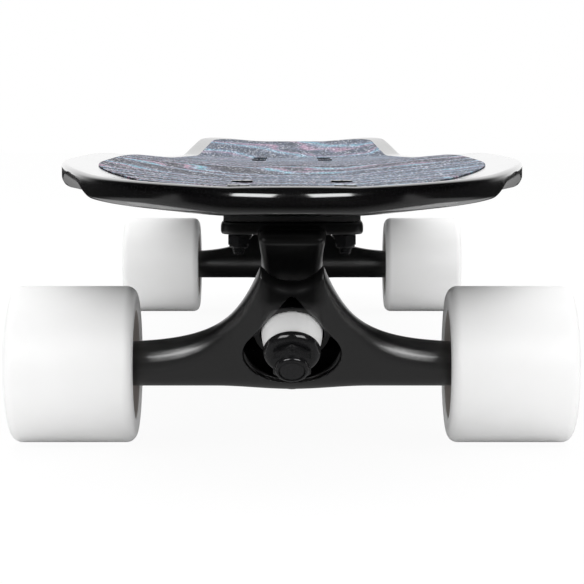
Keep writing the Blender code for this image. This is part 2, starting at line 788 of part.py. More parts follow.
def baseplate_mesh():
    """One casting: the flat plate, the kingpin neck and boss, and the leg with the pivot cup seat."""
    half = PLATE_WIDTH / 2
    outline = rounded_rectangle(-half, half, -PLATE_OUTBOARD, PLATE_INBOARD, PLATE_CORNER)
    plate = slab("baseplate", [outline], PLATE_THICKNESS / 2)
    move_mesh(plate, Matrix.Translation(UP * (PLATE_TOP - PLATE_THICKNESS / 2)))
    round_edges(plate, PLATE_EDGE_ROUND, 1)
    leg, pockets = leg_shape()
    cup_radius = PIVOT_BALL_RADIUS + FIT_GAP + PIVOT_CUP_WALL + FIT_GAP
    housing_end = PIVOT_FRAME @ Vector((0, 0, -cup_radius - PIVOT_HOUSING_WALL))
    housing_mouth = PIVOT_FRAME @ Vector((0, 0, PIVOT_HOUSING_RIM))
    housing = rod("housing", cup_radius + PIVOT_HOUSING_WALL, housing_end, housing_mouth, BUSHING_STEPS)
    round_edges(housing, PIVOT_HOUSING_ROUND, 2)
    additions = [
        neck_shape(),
        rod("boss", BOSS_RADIUS, on_kingpin(-BOSS_BACK), on_kingpin(-BOSS_RIM), RING_STEPS),
        leg,
        housing,
    ]
    head_pocket = hex_radius(KINGPIN_HEAD_FLATS) + FIT_GAP
    recess = BOSS_RADIUS - BOSS_RECESS_WALL
    behind = on_kingpin(-BOSS_BACK - 2 * CUT_CLEAR)
    cup_seat_end = PIVOT_FRAME @ Vector((0, 0, -cup_radius))
    cup_seat_mouth = PIVOT_FRAME @ Vector((0, 0, PIVOT_HOUSING_RIM + 2 * CUT_CLEAR))
    cuts = [
        rod("kingpin_hole", KINGPIN_RADIUS + FIT_GAP, behind, RING_CENTRE, SMALL_STEPS),
        rod("head_pocket", head_pocket, behind, on_kingpin(-KINGPIN_SHOULDER), BUSHING_STEPS),
        rod("bushing_recess", recess, on_kingpin(-BOSS_SEAT), RING_CENTRE, RING_STEPS),
        rod("cup_seat", cup_radius, cup_seat_end, cup_seat_mouth, BUSHING_STEPS),
    ]
    for number, (across, outboard) in enumerate(bolt_places((*BOLT_ROWS, SPARE_ROW))):
        place = beside(outboard, PLATE_TOP, across)
        low = place - UP * CUT_CLEAR
        hole = BOLT_RADIUS + FIT_GAP
        cuts.append(rod(f"plate_hole_{number}", hole, low, place + UP * CUT_CLEAR, HOLE_STEPS))
    combine(plate, additions, "UNION")
    combine(plate, cuts, "DIFFERENCE")
    return smooth(baked(plate, additions + cuts + pockets))


def arm_height(x):
    """The top edge of the hanger over the axle: exponential arms up to two horns, and a saddle."""
    arm = TUBE_RADIUS + ARM_RISE * math.exp(-abs(x) / ARM_FADE)
    if abs(x) >= SADDLE_RADIUS:
        return arm
    dip = SADDLE_RADIUS - math.sqrt(SADDLE_RADIUS**2 - x**2)
    return min(arm, SADDLE_HEIGHT + SADDLE_STRETCH * dip)


def horn_place():
    """Where the arm meets the saddle, by halving the interval."""
    low = 0.0
    high = SADDLE_RADIUS
    for _ in range(HORN_SEARCHES):
        middle = (low + high) / 2
        if arm_height(middle) < TUBE_RADIUS + ARM_RISE * math.exp(-middle / ARM_FADE):
            low = middle
        else:
            high = middle
    return high


def hanger_section(x):
    """One rib of the hanger: a round beam and a round top edge, joined by their tangents."""
    swell = 1.0 - ease(abs(x) / BEAM_SWELL_LENGTH)
    beam = TUBE_RADIUS + (BEAM_RADIUS - TUBE_RADIUS) * swell
    height = arm_height(x)
    widest_edge = beam - BEAM_EDGE_STEP
    edge = widest_edge - (widest_edge - ARM_EDGE_RADIUS) * ease((height - beam) / ARM_EDGE_GROWTH)
    spread = max(height - edge, (beam - edge) / math.cos(EDGE_FLARE))
    tangent = math.acos((beam - edge) / spread)
    points = []
    for step in range(EDGE_POINTS):
        turn = tangent * (1.0 - 2.0 * step / (EDGE_POINTS - 1))
        points.append((spread + edge * math.cos(turn), edge * math.sin(turn)))
    for step in range(BEAM_POINTS):
        turn = -tangent - (2 * math.pi - 2 * tangent) * step / (BEAM_POINTS - 1)
        points.append((beam * math.cos(turn), beam * math.sin(turn)))
    return [Vector((x, y - RING_ABOVE_AXLE, z)) for y, z in points]


def hanger_stations():
    """Rib places from the saddle to the tube's end, wider apart as the arms flatten."""
    horn = horn_place()
    half = [horn * rib / SADDLE_RIBS for rib in range(SADDLE_RIBS + 1)]
    reach = HANGER_HALF_LENGTH / horn
    for rib in range(1, ARM_RIBS + 1):
        half.append(horn * reach ** ((rib / ARM_RIBS) ** ARM_RIB_SPREAD))
    return [-x for x in reversed(half[1:])] + half


def hanger_body():
    working = bmesh.new()
    ribs = []
    for x in hanger_stations():
        ribs.append([working.verts.new(point) for point in hanger_section(x)])
    count = len(ribs[0])
    for left, right in zip(ribs, ribs[1:]):
        for index in range(count):
            after = (index + 1) % count
            working.faces.new((left[index], left[after], right[after], right[index]))
    working.faces.new(reversed(ribs[0]))
    working.faces.new(ribs[-1])
    bmesh.ops.recalc_face_normals(working, faces=working.faces)
    return tool_shape("hanger", mesh_of("hanger", working))


def pocket_outline():
    """An egg seen from the front: a wide oval below, straight sides and a narrow peak."""
    points = []
    for step in range(POCKET_POINTS + 1):
        turn = POCKET_SIDE_TURN - (math.pi + 2 * POCKET_SIDE_TURN) * step / POCKET_POINTS
        height = POCKET_CENTRE_ABOVE_AXLE + POCKET_HALF_HEIGHT * math.sin(turn)
        points.append((POCKET_HALF_WIDTH * math.cos(turn), height))
    peak = POCKET_PEAK_ABOVE_AXLE - POCKET_PEAK_RADIUS
    for step in range(PEAK_POINTS + 1):
        turn = math.pi / 2 + POCKET_PEAK_TURN * (1.0 - 2.0 * step / PEAK_POINTS)
        height = peak + POCKET_PEAK_RADIUS * math.sin(turn)
        points.append((POCKET_PEAK_RADIUS * math.cos(turn), height))
    return points


def clipped(obj, place, normal):
    """The part of a convex-walled cutter on the far side of a plane, closed again."""
    working = bmesh.new()
    working.from_mesh(obj.data)
    geometry = working.verts[:] + working.edges[:] + working.faces[:]
    cut = bmesh.ops.bisect_plane(working, geom=geometry, plane_co=place, plane_no=normal, clear_inner=True)
    edges = [item for item in cut["geom_cut"] if isinstance(item, bmesh.types.BMEdge)]
    bmesh.ops.contextual_create(working, geom=edges)
    bmesh.ops.recalc_face_normals(working, faces=working.faces)
    working.to_mesh(obj.data)
    working.free()
    return obj


def pocket_cutter(name, floor, lowest):
    """The egg carried level into the hanger's front, down to a floor in the ring's plane."""
    cutter = slab(name, [pocket_outline()], POCKET_REACH)
    standing = Matrix.Translation((0, 0, WHEEL_RADIUS)) @ Matrix.Rotation(math.pi / 2, 4, "X")
    move_mesh(cutter, Matrix.Translation(beside(POCKET_REACH, 0.0)) @ standing)
    move_mesh(cutter, KINGPIN_FRAME.inverted())
    clipped(cutter, Vector((0, 0, floor)), Vector((0, 0, 1)))
    if lowest is not None:
        clipped(cutter, Vector((0, lowest - RING_ABOVE_AXLE, 0)), Vector((0, 1, 0)))
    return cutter


def hanger_additions():
    """The bushing ring, its bridge, the pivot stem and the shoulders that the bearings run against."""
    stem_profile = [
        (0.0, PIVOT_STEM_LENGTH),
        (PIVOT_STEM_RADIUS, PIVOT_STEM_LENGTH),
        (PIVOT_BALL_RADIUS, PIVOT_STEM_STRAIGHT),
        *arc_profile(PIVOT_BALL_RADIUS, 0.0, -math.pi / 2, 4),
    ]
    bridge_low = (-RING_BRIDGE_WIDTH / 2, RING_BRIDGE_FOOT, -RING_BRIDGE_BACK)
    bridge_high = (RING_BRIDGE_WIDTH / 2, RING_BRIDGE_HEIGHT, RING_LIP)
    additions = [
        rod("ring", RING_RADIUS, (0, 0, -SPOT_FACE_DEPTH), (0, 0, RING_LIP), RING_STEPS),
        block("bridge", bridge_low, bridge_high),
        turned("stem", stem_profile, SMALL_STEPS, matrix=PIVOT_FRAME_IN_RING),
    ]
    for side in (-1, 1):
        inner = (side * (HANGER_HALF_LENGTH - END_SHOULDER_OVERLAP), -RING_ABOVE_AXLE, 0)
        outer = (side * (HANGER_HALF_LENGTH + WASHER_THICKNESS), -RING_ABOVE_AXLE, 0)
        additions.append(rod(f"end_shoulder_{side}", WASHER_RADIUS, inner, outer, SMALL_STEPS))
    return additions


def hanger_bores():
    """The spot face, the two bushing seats, the hole between them and the axle's bore."""
    seat = RING_RADIUS - RING_WALL
    above = (0, 0, -POCKET_REACH)
    below = (0, 0, POCKET_REACH)
    end = HANGER_HALF_LENGTH + CUT_CLEAR
    axle_start = (-end, -RING_ABOVE_AXLE, 0)
    axle_end = (end, -RING_ABOVE_AXLE, 0)
    return [
        rod("spot_face", SPOT_FACE_RADIUS, above, (0, 0, -SPOT_FACE_DEPTH), RING_STEPS),
        rod("ring_bore", RING_BORE, above, below, BUSHING_STEPS),
        rod("roadside_seat", seat, (0, 0, RING_WEB), below, RING_STEPS),
        rod("boardside_seat", seat, above, (0, 0, -RING_WEB), RING_STEPS),
        rod("axle_bore", AXLE_RADIUS + FIT_GAP, axle_start, axle_end, SMALL_STEPS),
    ]


def hanger_mesh():
    """The cast hanger: beam and swept arms, a ring web for the bushings, a pocket and a pivot stem."""
    body = hanger_body()
    hollows = [
        pocket_cutter("upper_pocket", -POCKET_FLOOR, BEAM_POCKET_TOP),
        pocket_cutter("beam_pocket", BEAM_POCKET_FLOOR, None),
    ]
    additions = hanger_additions()
    bores = hanger_bores()
    combine(body, hollows, "DIFFERENCE")
    combine(body, additions, "UNION")
    combine(body, bores, "DIFFERENCE")
    return smooth(baked(body, [*hollows, *additions, *bores]))


def hex_piece(name, flats, low, high, collar_end, bore, washers=()):
    """A hexagon nut along Z with a round locking collar past its top or bottom, and a bore."""
    body = rod(name, hex_radius(flats), (0, 0, low), (0, 0, high), 6)
    beyond = collar_end > high
    collar_start = high - COLLAR_OVERLAP if beyond else low + COLLAR_OVERLAP
    radius = flats / 2 * NUT_COLLAR_SHARE
    collar = rod(f"{name}_collar", radius, (0, 0, collar_start), (0, 0, collar_end), SMALL_STEPS)
    hole_low = min(low, collar_end) - CUT_CLEAR
    hole_high = max(high, collar_end) + CUT_CLEAR
    hole = rod(f"{name}_hole", bore, (0, 0, hole_low), (0, 0, hole_high), SMALL_STEPS)
    combine(body, [collar, *washers], "UNION")
    combine(body, [hole], "DIFFERENCE")
    return smooth(baked(body, [collar, hole, *washers]))


def deck_bolt_mesh():
    """A countersunk bolt with a cross recess, hanging from its head top at Z zero."""
    cone_top = -BOLT_HEAD_RIM
    profile = [
        (0.0, 0.0),
        (BOLT_HEAD_RADIUS, 0.0),
        (BOLT_HEAD_RADIUS, cone_top),
        (BOLT_RADIUS, cone_top - BOLT_HEAD_CONE),
        (BOLT_RADIUS, -BOLT_LENGTH + AXLE_CHAMFER),
        (BOLT_RADIUS - AXLE_CHAMFER, -BOLT_LENGTH),
        (0.0, -BOLT_LENGTH),
    ]
    bolt = turned("deck_bolt", profile, SMALL_STEPS)
    half_width = CROSS_WIDTH / 2
    half_span = CROSS_SPAN / 2
    slots = [
        block("slot_across", (-half_span, -half_width, -CROSS_DEPTH), (half_span, half_width, CUT_CLEAR)),
        block("slot_along", (-half_width, -half_span, -CROSS_DEPTH), (half_width, half_span, CUT_CLEAR)),
    ]
    combine(bolt, slots, "DIFFERENCE")
    return smooth(baked(bolt, slots))


def deck_nut_mesh():
    """A locking nut whose seat is at Z zero, its collar pointing down."""
    end = -DECK_NUT_HEIGHT
    return hex_piece("deck_nut", DECK_NUT_FLATS, end, 0.0, end - DECK_NUT_COLLAR, BOLT_RADIUS + FIT_GAP)


def kingpin_mesh():
    """The kingpin in the ring's frame: a hexagon head at the top, a long shank and a chamfered tip."""
    head_low = -KINGPIN_SHOULDER - SEAT_GAP
    profile = [
        (0.0, KINGPIN_TIP),
        (KINGPIN_RADIUS - AXLE_CHAMFER, KINGPIN_TIP),
        (KINGPIN_RADIUS, KINGPIN_TIP - AXLE_CHAMFER),
        (KINGPIN_RADIUS, head_low - KINGPIN_HEAD_HEIGHT / 2),
        (0.0, head_low - KINGPIN_HEAD_HEIGHT / 2),
    ]
    shank = turned("kingpin", profile, SMALL_STEPS)
    head_top = (0, 0, head_low - KINGPIN_HEAD_HEIGHT)
    head = rod("kingpin_head", hex_radius(KINGPIN_HEAD_FLATS), head_top, (0, 0, head_low), 6)
    combine(shank, [head], "UNION")
    return smooth(baked(shank, [head]))


def ring_mesh(name, profile, steps=BUSHING_STEPS):
    return smooth(baked(turned(name, profile, steps, closed=True)))


ROADSIDE_SEAT = RING_WEB + SEAT_GAP
ROADSIDE_END = ROADSIDE_SEAT + ROADSIDE_BUSHING_HEIGHT
CUP_WASHER_FACE = ROADSIDE_END + SEAT_GAP
CUP_WASHER_BACK = CUP_WASHER_FACE + CUP_WASHER_THICKNESS
BOARDSIDE_SEAT = -RING_WEB - SEAT_GAP
BOARDSIDE_END = BOARDSIDE_SEAT - BOARDSIDE_BUSHING_HEIGHT
KINGPIN_FIT = KINGPIN_RADIUS + FIT_GAP


def roadside_bushing_mesh():
    """The lower urethane bushing: straight where it sits in the ring, then a cone to its washer."""
    straight_end = ROADSIDE_SEAT + BUSHING_STRAIGHT
    nose = CUP_WASHER_RADIUS - CUP_WASHER_WALL - FIT_GAP
    profile = [
        (nose, ROADSIDE_END),
        (nose, CUP_WASHER_FACE - CUP_WASHER_LIP - SEAT_GAP),
        (BUSHING_RADIUS, straight_end),
        (BUSHING_RADIUS, ROADSIDE_SEAT + BUSHING_CHAMFER),
        (BUSHING_RADIUS - BUSHING_CHAMFER, ROADSIDE_SEAT),
        (KINGPIN_FIT, ROADSIDE_SEAT),
        (KINGPIN_FIT, ROADSIDE_END),
    ]
    return ring_mesh("roadside_bushing", profile)


def boardside_bushing_mesh():
    """The upper urethane bushing, from the boss's recess to the ring's upper seat."""
    profile = [
        (BOARDSIDE_BUSHING_RADIUS - BUSHING_CHAMFER, BOARDSIDE_SEAT),
        (BOARDSIDE_BUSHING_RADIUS, BOARDSIDE_SEAT - BUSHING_CHAMFER),
        (BOARDSIDE_BUSHING_RADIUS, BOARDSIDE_END),
        (KINGPIN_FIT, BOARDSIDE_END),
        (KINGPIN_FIT, BOARDSIDE_SEAT),
    ]
    return ring_mesh("boardside_bushing", profile)


def cup_washer_mesh():
    """The dished washer under the kingpin nut, its lip round the bushing's end."""
    inner = CUP_WASHER_RADIUS - CUP_WASHER_WALL
    profile = [
        (inner, CUP_WASHER_FACE - CUP_WASHER_LIP),
        (inner, CUP_WASHER_FACE),
        (KINGPIN_FIT, CUP_WASHER_FACE),
        (KINGPIN_FIT, CUP_WASHER_BACK),
        (CUP_WASHER_RADIUS - CUP_WASHER_CHAMFER, CUP_WASHER_BACK),
        (CUP_WASHER_RADIUS, CUP_WASHER_BACK - CUP_WASHER_CHAMFER),
        (CUP_WASHER_RADIUS, CUP_WASHER_FACE - CUP_WASHER_LIP),
    ]
    return ring_mesh("cup_washer", profile, RING_STEPS)


def flat_washer_mesh():
    """The flat washer between the boss and the upper bushing."""
    low = -BOSS_SEAT + SEAT_GAP
    high = BOARDSIDE_END - SEAT_GAP
    profile = [
        (FLAT_WASHER_RADIUS, high),
        (FLAT_WASHER_RADIUS, low),
        (KINGPIN_FIT, low),
        (KINGPIN_FIT, high),
    ]
    return ring_mesh("flat_washer", profile)


def kingpin_nut_mesh():
    """The locking nut that sets how stiffly the board leans."""
    seat = CUP_WASHER_BACK + SEAT_GAP
    top = seat + KINGPIN_NUT_HEIGHT
    return hex_piece("kingpin_nut", KINGPIN_NUT_FLATS, seat, top, top + KINGPIN_NUT_COLLAR, KINGPIN_FIT)


def pivot_cup_mesh():
    """The urethane cup that the hanger's pivot turns in, in the pivot's own frame."""
    inner = PIVOT_BALL_RADIUS + FIT_GAP
    outer = inner + PIVOT_CUP_WALL
    profile = [
        *arc_profile(inner, -math.pi / 2, 0.0, 3),
        (inner, PIVOT_CUP_RIM),
        (outer, PIVOT_CUP_RIM),
        (outer, -outer),
        (0.0, -outer),
    ]
    return smooth(baked(turned("pivot_cup", profile, BUSHING_STEPS)))


def wheel_mesh():
    """A solid urethane wheel along Z: rounded lips, a recess in each face and a bearing seat in each."""
    half = WHEEL_WIDTH / 2
    seat_radius = BEARING_RADIUS + FIT_GAP
    seat_depth = SPACER_WIDTH / 2
    mouth = BEARING_OFFSET + BEARING_WIDTH / 2
    shoulder = SPACER_RADIUS + HUB_SHOULDER
    lip_centre = (WHEEL_RADIUS - WHEEL_LIP, half - WHEEL_LIP)
    upper = [
        (shoulder, seat_depth - SEAT_GAP),
        (seat_radius, seat_depth - SEAT_GAP),
        (seat_radius, mouth),
        (WHEEL_RECESS_RADIUS - RECESS_DRAFT, mouth + RECESS_RISE),
        (WHEEL_RECESS_RADIUS, half - RECESS_EDGE),
        *arc_profile(WHEEL_LIP, math.pi / 2, 0.0, 3, lip_centre),
    ]
    lower = [(radius, -height) for radius, height in reversed(upper)]
    return smooth(baked(turned("wheel", upper + lower, WHEEL_STEPS, closed=True)), math.radians(40))


def bearing_mesh():
    """A shielded ball bearing along Z: an outer race, a sunk shield and an inner race."""
    half = BEARING_WIDTH / 2
    bore = AXLE_RADIUS + FIT_GAP
    upper = [
        (bore, half),
        (bore + INNER_RACE_WALL, half - SHIELD_DEPTH),
        (BEARING_RADIUS - OUTER_RACE_WALL, half - SHIELD_DEPTH),
        (BEARING_RADIUS, half),
    ]
    lower = [(radius, -height) for radius, height in reversed(upper)]
    return ring_mesh("bearing", upper + lower, SMALL_STEPS)


def spacer_mesh():
    half = SPACER_WIDTH / 2 - SEAT_GAP
    bore = AXLE_RADIUS + FIT_GAP
    profile = [(SPACER_RADIUS, half), (SPACER_RADIUS, -half), (bore, -half), (bore, half)]
    return ring_mesh("spacer", profile, SMALL_STEPS)


def axle_mesh():
    """The steel axle rod along Z, chamfered at both ends."""
    half = AXLE_LENGTH / 2
    narrow = AXLE_RADIUS - AXLE_CHAMFER
    profile = [
        (0.0, half),
        (narrow, half),
        (AXLE_RADIUS, half - AXLE_CHAMFER),
        (AXLE_RADIUS, -half + AXLE_CHAMFER),
        (narrow, -half),
        (0.0, -half),
    ]
    return smooth(baked(turned("axle", profile, SMALL_STEPS)))


def axle_nut_mesh():
    """A locking nut with its speed washer, seated at Z zero and facing outwards."""
    top = WASHER_THICKNESS + AXLE_NUT_HEIGHT
    washer = rod("speed_washer", WASHER_RADIUS, (0, 0, 0), (0, 0, WASHER_THICKNESS), SMALL_STEPS)
    low = WASHER_THICKNESS / 2
    bore = AXLE_RADIUS + FIT_GAP
    return hex_piece("axle_nut", AXLE_NUT_FLATS, low, top, top + AXLE_NUT_COLLAR, bore, [washer])


def make_materials():
    return {
        "lacquer": new_material("black_lacquer", (0.008, 0.008, 0.009), 0.08),
        "grip": new_material("printed_grip", (0.36, 0.34, 0.42), 0.85),
        "rubber": new_material("black_rubber", (0.02, 0.02, 0.02), 0.7),
        "casting": new_material("black_painted_casting", (0.012, 0.012, 0.013), 0.22),
        "steel": new_material("black_steel", (0.02, 0.02, 0.022), 0.25, 0.9),
        "bright_steel": new_material("bright_steel", (0.62, 0.62, 0.64), 0.25, 1.0),
        "urethane": new_material("white_urethane", (0.86, 0.86, 0.85), 0.4),
        "cup": new_material("pivot_urethane", (0.05, 0.05, 0.05), 0.5),
    }


def make_meshes(materials):
    """Each kind of piece once, with its material; the copies share the mesh."""
    kinds = {
        "riser_pad": (riser_mesh(), "rubber"),
        "baseplate": (baseplate_mesh(), "casting"),
        "pivot_cup": (pivot_cup_mesh(), "cup"),
        "kingpin": (kingpin_mesh(), "steel"),
        "kingpin_nut": (kingpin_nut_mesh(), "steel"),
        "cup_washer": (cup_washer_mesh(), "steel"),
        "flat_washer": (flat_washer_mesh(), "steel"),
        "roadside_bushing": (roadside_bushing_mesh(), "urethane"),
        "boardside_bushing": (boardside_bushing_mesh(), "urethane"),
        "hanger": (hanger_mesh(), "casting"),
        "axle": (axle_mesh(), "bright_steel"),
        "wheel": (wheel_mesh(), "urethane"),
        "bearing": (bearing_mesh(), "bright_steel"),
        "spacer": (spacer_mesh(), "bright_steel"),
        "axle_nut": (axle_nut_mesh(), "steel"),
        "deck_bolt": (deck_bolt_mesh(), "steel"),
        "deck_nut": (deck_nut_mesh(), "steel"),
    }
    meshes = {}
    for name, (mesh, material) in kinds.items():
        mesh.materials.clear()
        mesh.materials.append(materials[material])
        meshes[name] = mesh
    return meshes


def empty(name, matrix, parent=None):
    obj = bpy.data.objects.new(name, None)
    BOARD.objects.link(obj)
    obj.parent = parent
    obj.matrix_local = matrix
    return obj


def make_wheel(name, side, axle_line, meshes):
    """A wheel with its two bearings on an empty at the wheel's middle, Z pointing outwards."""
    outwards = Matrix.Rotation(side * math.pi / 2, 4, "Y")
    middle = Matrix.Translation(ACROSS * side * WHEEL_CENTRE) @ outwards
    hub = empty(f"{name}_hub", middle, axle_line)
    add_object(f"{name}_wheel", meshes["wheel"], BOARD, hub)
    for place, offset in (("outer", BEARING_OFFSET), ("inner", -BEARING_OFFSET)):
        matrix = Matrix.Translation(UP * offset)
        add_object(f"{name}_{place}_bearing", meshes["bearing"], BOARD, hub, matrix)
    seat = middle @ Matrix.Translation(UP * BEARING_SEAT)
    add_object(f"{name}_axle_nut", meshes["axle_nut"], BOARD, axle_line, seat)
    add_object(f"{name}_bearing_spacer", meshes["spacer"], BOARD, axle_line, middle)


def make_truck(end, turn, meshes):
    truck = empty(f"{end}_truck", turn)
    for name in ("riser_pad", "baseplate"):
        add_object(f"{end}_{name}", meshes[name], BOARD, truck)
    add_object(f"{end}_pivot_cup", meshes["pivot_cup"], BOARD, truck, PIVOT_FRAME)
    stack = ("kingpin", "kingpin_nut", "cup_washer", "flat_washer", "roadside_bushing", "boardside_bushing")
    for name in stack:
        add_object(f"{end}_{name}", meshes[name], BOARD, truck, KINGPIN_FRAME)
    for number, (across, outboard) in enumerate(bolt_places(BOLT_ROWS), start=1):
        top = Matrix.Translation(beside(outboard, BOLT_HEAD_TOP, across))
        seat = Matrix.Translation(beside(outboard, PLATE_UNDERSIDE - SEAT_GAP, across))
        add_object(f"{end}_deck_bolt_{number}", meshes["deck_bolt"], BOARD, truck, top)
        add_object(f"{end}_deck_nut_{number}", meshes["deck_nut"], BOARD, truck, seat)
    hanger = add_object(f"{end}_hanger", meshes["hanger"], BOARD, truck, KINGPIN_FRAME)
    level = KINGPIN_FRAME.inverted() @ Matrix.Translation(UP * WHEEL_RADIUS)
    axle_line = empty(f"{end}_axle_line", level, hanger)
    add_object(f"{end}_axle", meshes["axle"], BOARD, axle_line, Matrix.Rotation(math.pi / 2, 4, "Y"))
    for side_name, side in (("left", -1), ("right", 1)):
        make_wheel(f"{end}_{side_name}", side, axle_line, meshes)


def main():
    materials = make_materials()
    make_deck(materials["lacquer"])
    make_grip(materials["grip"])
    meshes = make_meshes(materials)
    for end, turn in truck_turns():
        make_truck(end, turn, meshes)


main()
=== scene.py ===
# %% [markdown]
# # A cruiser skateboard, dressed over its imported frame
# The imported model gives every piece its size, its place and the body that it moves with. This lesson
# dresses it: smooth shapes, real edges and a procedural finish for each piece. The camera stands low
# in front of the nose, so the black lacquer, the printed grip and the cast trucks fill the picture.

# %% Load the frame
import json
import math

import bpy
from mathutils import Matrix, Vector


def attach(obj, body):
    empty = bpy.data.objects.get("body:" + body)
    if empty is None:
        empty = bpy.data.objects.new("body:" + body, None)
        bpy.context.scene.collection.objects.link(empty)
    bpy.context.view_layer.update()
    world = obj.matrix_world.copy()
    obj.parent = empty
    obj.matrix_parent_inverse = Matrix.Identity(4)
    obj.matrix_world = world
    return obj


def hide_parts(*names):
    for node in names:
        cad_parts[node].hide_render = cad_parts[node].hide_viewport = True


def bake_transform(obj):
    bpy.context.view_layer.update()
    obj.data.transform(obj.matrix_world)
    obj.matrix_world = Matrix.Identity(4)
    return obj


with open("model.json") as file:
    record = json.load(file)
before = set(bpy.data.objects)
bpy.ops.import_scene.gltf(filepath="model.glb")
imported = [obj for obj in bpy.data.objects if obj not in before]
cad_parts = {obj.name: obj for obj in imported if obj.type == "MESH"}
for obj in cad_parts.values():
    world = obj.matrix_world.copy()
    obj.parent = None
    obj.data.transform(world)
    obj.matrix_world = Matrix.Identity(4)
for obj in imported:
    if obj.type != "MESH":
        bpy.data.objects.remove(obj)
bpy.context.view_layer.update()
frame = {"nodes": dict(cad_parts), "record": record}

# %% [markdown]
# ## Sizes
# The pieces here have to lie where the frame's pieces lie, so the few sizes that shape them are kept in
# one place. Everything is in metres. The board runs along Y with its nose at -Y.

# %% Sizes of the board
NOSE_Y = -0.366
TAIL_Y = 0.366
FRONT_AXLE_Y = -0.266
REAR_AXLE_Y = 0.242
WHEELBASE = REAR_AXLE_Y - FRONT_AXLE_Y
DECK_UNDERSIDE = 0.0897
DECK_THICKNESS = 0.0095
DECK_TOP = DECK_UNDERSIDE + DECK_THICKNESS
GAP = 0.0003
GRIP_TOP = 0.0006
BOLT_PROUD = 0.0008
BOLT_HEAD_TOP = DECK_TOP + GRIP_TOP + BOLT_PROUD
BOLT_SPACING = 0.041275
BOLT_ROW = 0.003
BOLT_PITCH = 0.05398
LONG_PITCH = 0.0635
PLATE_TOP = 0.08655
PLATE_THICKNESS = 0.0048
WHEEL_RADIUS = 0.0305
WHEEL_WIDTH = 0.0485
WHEEL_CENTRE = 0.08475
SLOPE = math.radians(40.0)
RING_ABOVE_AXLE = 0.0226
print("deck is", round(TAIL_Y - NOSE_Y, 3), "m long")

# %% [markdown]
# ## Camera
# The photograph was taken from about 0.74 m in front of the front axle, 126 mm above the floor, with a
# long lens tipped 5.2 degrees down. A long lens keeps the near wheels from looking much larger than the
# far ones. The camera's place and its focal length, here in pixels of the photograph, were worked out
# from the wheels, the bolts and the two axles.

# %% Camera
SENSOR_WIDTH = 36.0
PHOTO_WIDTH = 584.0
FOCAL_PIXELS = 1905.2
BEFORE_AXLE = 0.740
CAMERA_HEIGHT = 0.12632
TIPPED_DOWN = 5.216

camera_data = bpy.data.cameras.new("camera")
camera_data.sensor_width = SENSOR_WIDTH
camera_data.lens = SENSOR_WIDTH * FOCAL_PIXELS / PHOTO_WIDTH
camera = bpy.data.objects.new("camera", camera_data)
bpy.context.scene.collection.objects.link(camera)
camera.location = (0.0, FRONT_AXLE_Y - BEFORE_AXLE, CAMERA_HEIGHT)
camera.rotation_euler = (math.radians(90.0 - TIPPED_DOWN), 0.0, 0.0)
camera_data.clip_start = 0.05
bpy.context.scene.camera = camera
bpy.context.scene.view_settings.view_transform = "Standard"
print("lens", round(camera_data.lens, 1), "mm")

# %% [markdown]
# ## Light
# Black gloss shows little of its own colour: it is drawn by what it mirrors. In mirrors this studio is
# white only straight behind the board, like a hanging banner, and nearly black everywhere else. Tops
# and rims then turn white at grazing angles, while the faces towards the camera stay black. Matt
# surfaces get an even white light from all round, and the camera itself sees plain white.
#
# Two soft boxes before the nose are seen in gloss only and put the pairs of highlights on the nose and
# the hanger. Two low ones at the sides and one overhead light matt surfaces only.

# %% World
world = bpy.data.worlds.new("studio")
bpy.context.scene.world = world
world.use_nodes = True
world_nodes = world.node_tree.nodes
world_links = world.node_tree.links
world_nodes.clear()


def world_node(kind, **settings):
    """A node of the world's own tree."""
    node = world_nodes.new(kind)
    for name, value in settings.items():
        setattr(node, name, value)
    return node


def world_step(low, high, bottom, top):
    """A soft step: bottom below the low value, top above the high one."""
    step = world_node("ShaderNodeMapRange", interpolation_type="SMOOTHSTEP")
    for name, value in (("From Min", low), ("From Max", high), ("To Min", bottom), ("To Max", top)):
        step.inputs[name].default_value = value
    return step


def background(strength=1.0):
    """White light of one strength."""
    light = world_node("ShaderNodeBackground")
    light.inputs["Color"].default_value = (1.0, 1.0, 1.0, 1.0)
    light.inputs["Strength"].default_value = strength
    return light


DARK = 0.010
direction = world_node("ShaderNodeTexCoord")
split = world_node("ShaderNodeSeparateXYZ")
toward_back = world_step(low=0.42, high=0.72, bottom=DARK, top=1.0)
between_sides = world_step(low=0.40, high=0.66, bottom=1.0, top=DARK)
sideways = world_node("ShaderNodeMath", operation="ABSOLUTE")
banner = world_node("ShaderNodeMath", operation="MULTIPLY")
studio = background()
white = background()
soft = background(1.01)
rays = world_node("ShaderNodeLightPath")
choose = world_node("ShaderNodeMixShader")
reflect = world_node("ShaderNodeMixShader")
world_out = world_node("ShaderNodeOutputWorld")
world_links.new(direction.outputs["Object"], split.inputs[0])
world_links.new(split.outputs["Y"], toward_back.inputs["Value"])
world_links.new(split.outputs["X"], sideways.inputs[0])
world_links.new(sideways.outputs[0], between_sides.inputs["Value"])
world_links.new(toward_back.outputs["Result"], banner.inputs[0])
world_links.new(between_sides.outputs["Result"], banner.inputs[1])
world_links.new(banner.outputs[0], studio.inputs["Strength"])
world_links.new(rays.outputs["Is Camera Ray"], choose.inputs["Fac"])
world_links.new(rays.outputs["Is Glossy Ray"], reflect.inputs["Fac"])
world_links.new(soft.outputs[0], reflect.inputs[1])
world_links.new(studio.outputs[0], reflect.inputs[2])
world_links.new(reflect.outputs[0], choose.inputs[1])
world_links.new(white.outputs[0], choose.inputs[2])
world_links.new(choose.outputs[0], world_out.inputs["Surface"])
print("world: a white banner behind, dark elsewhere in gloss")


# %% Soft boxes
AIM = Vector((0.0, -0.2, 0.05))


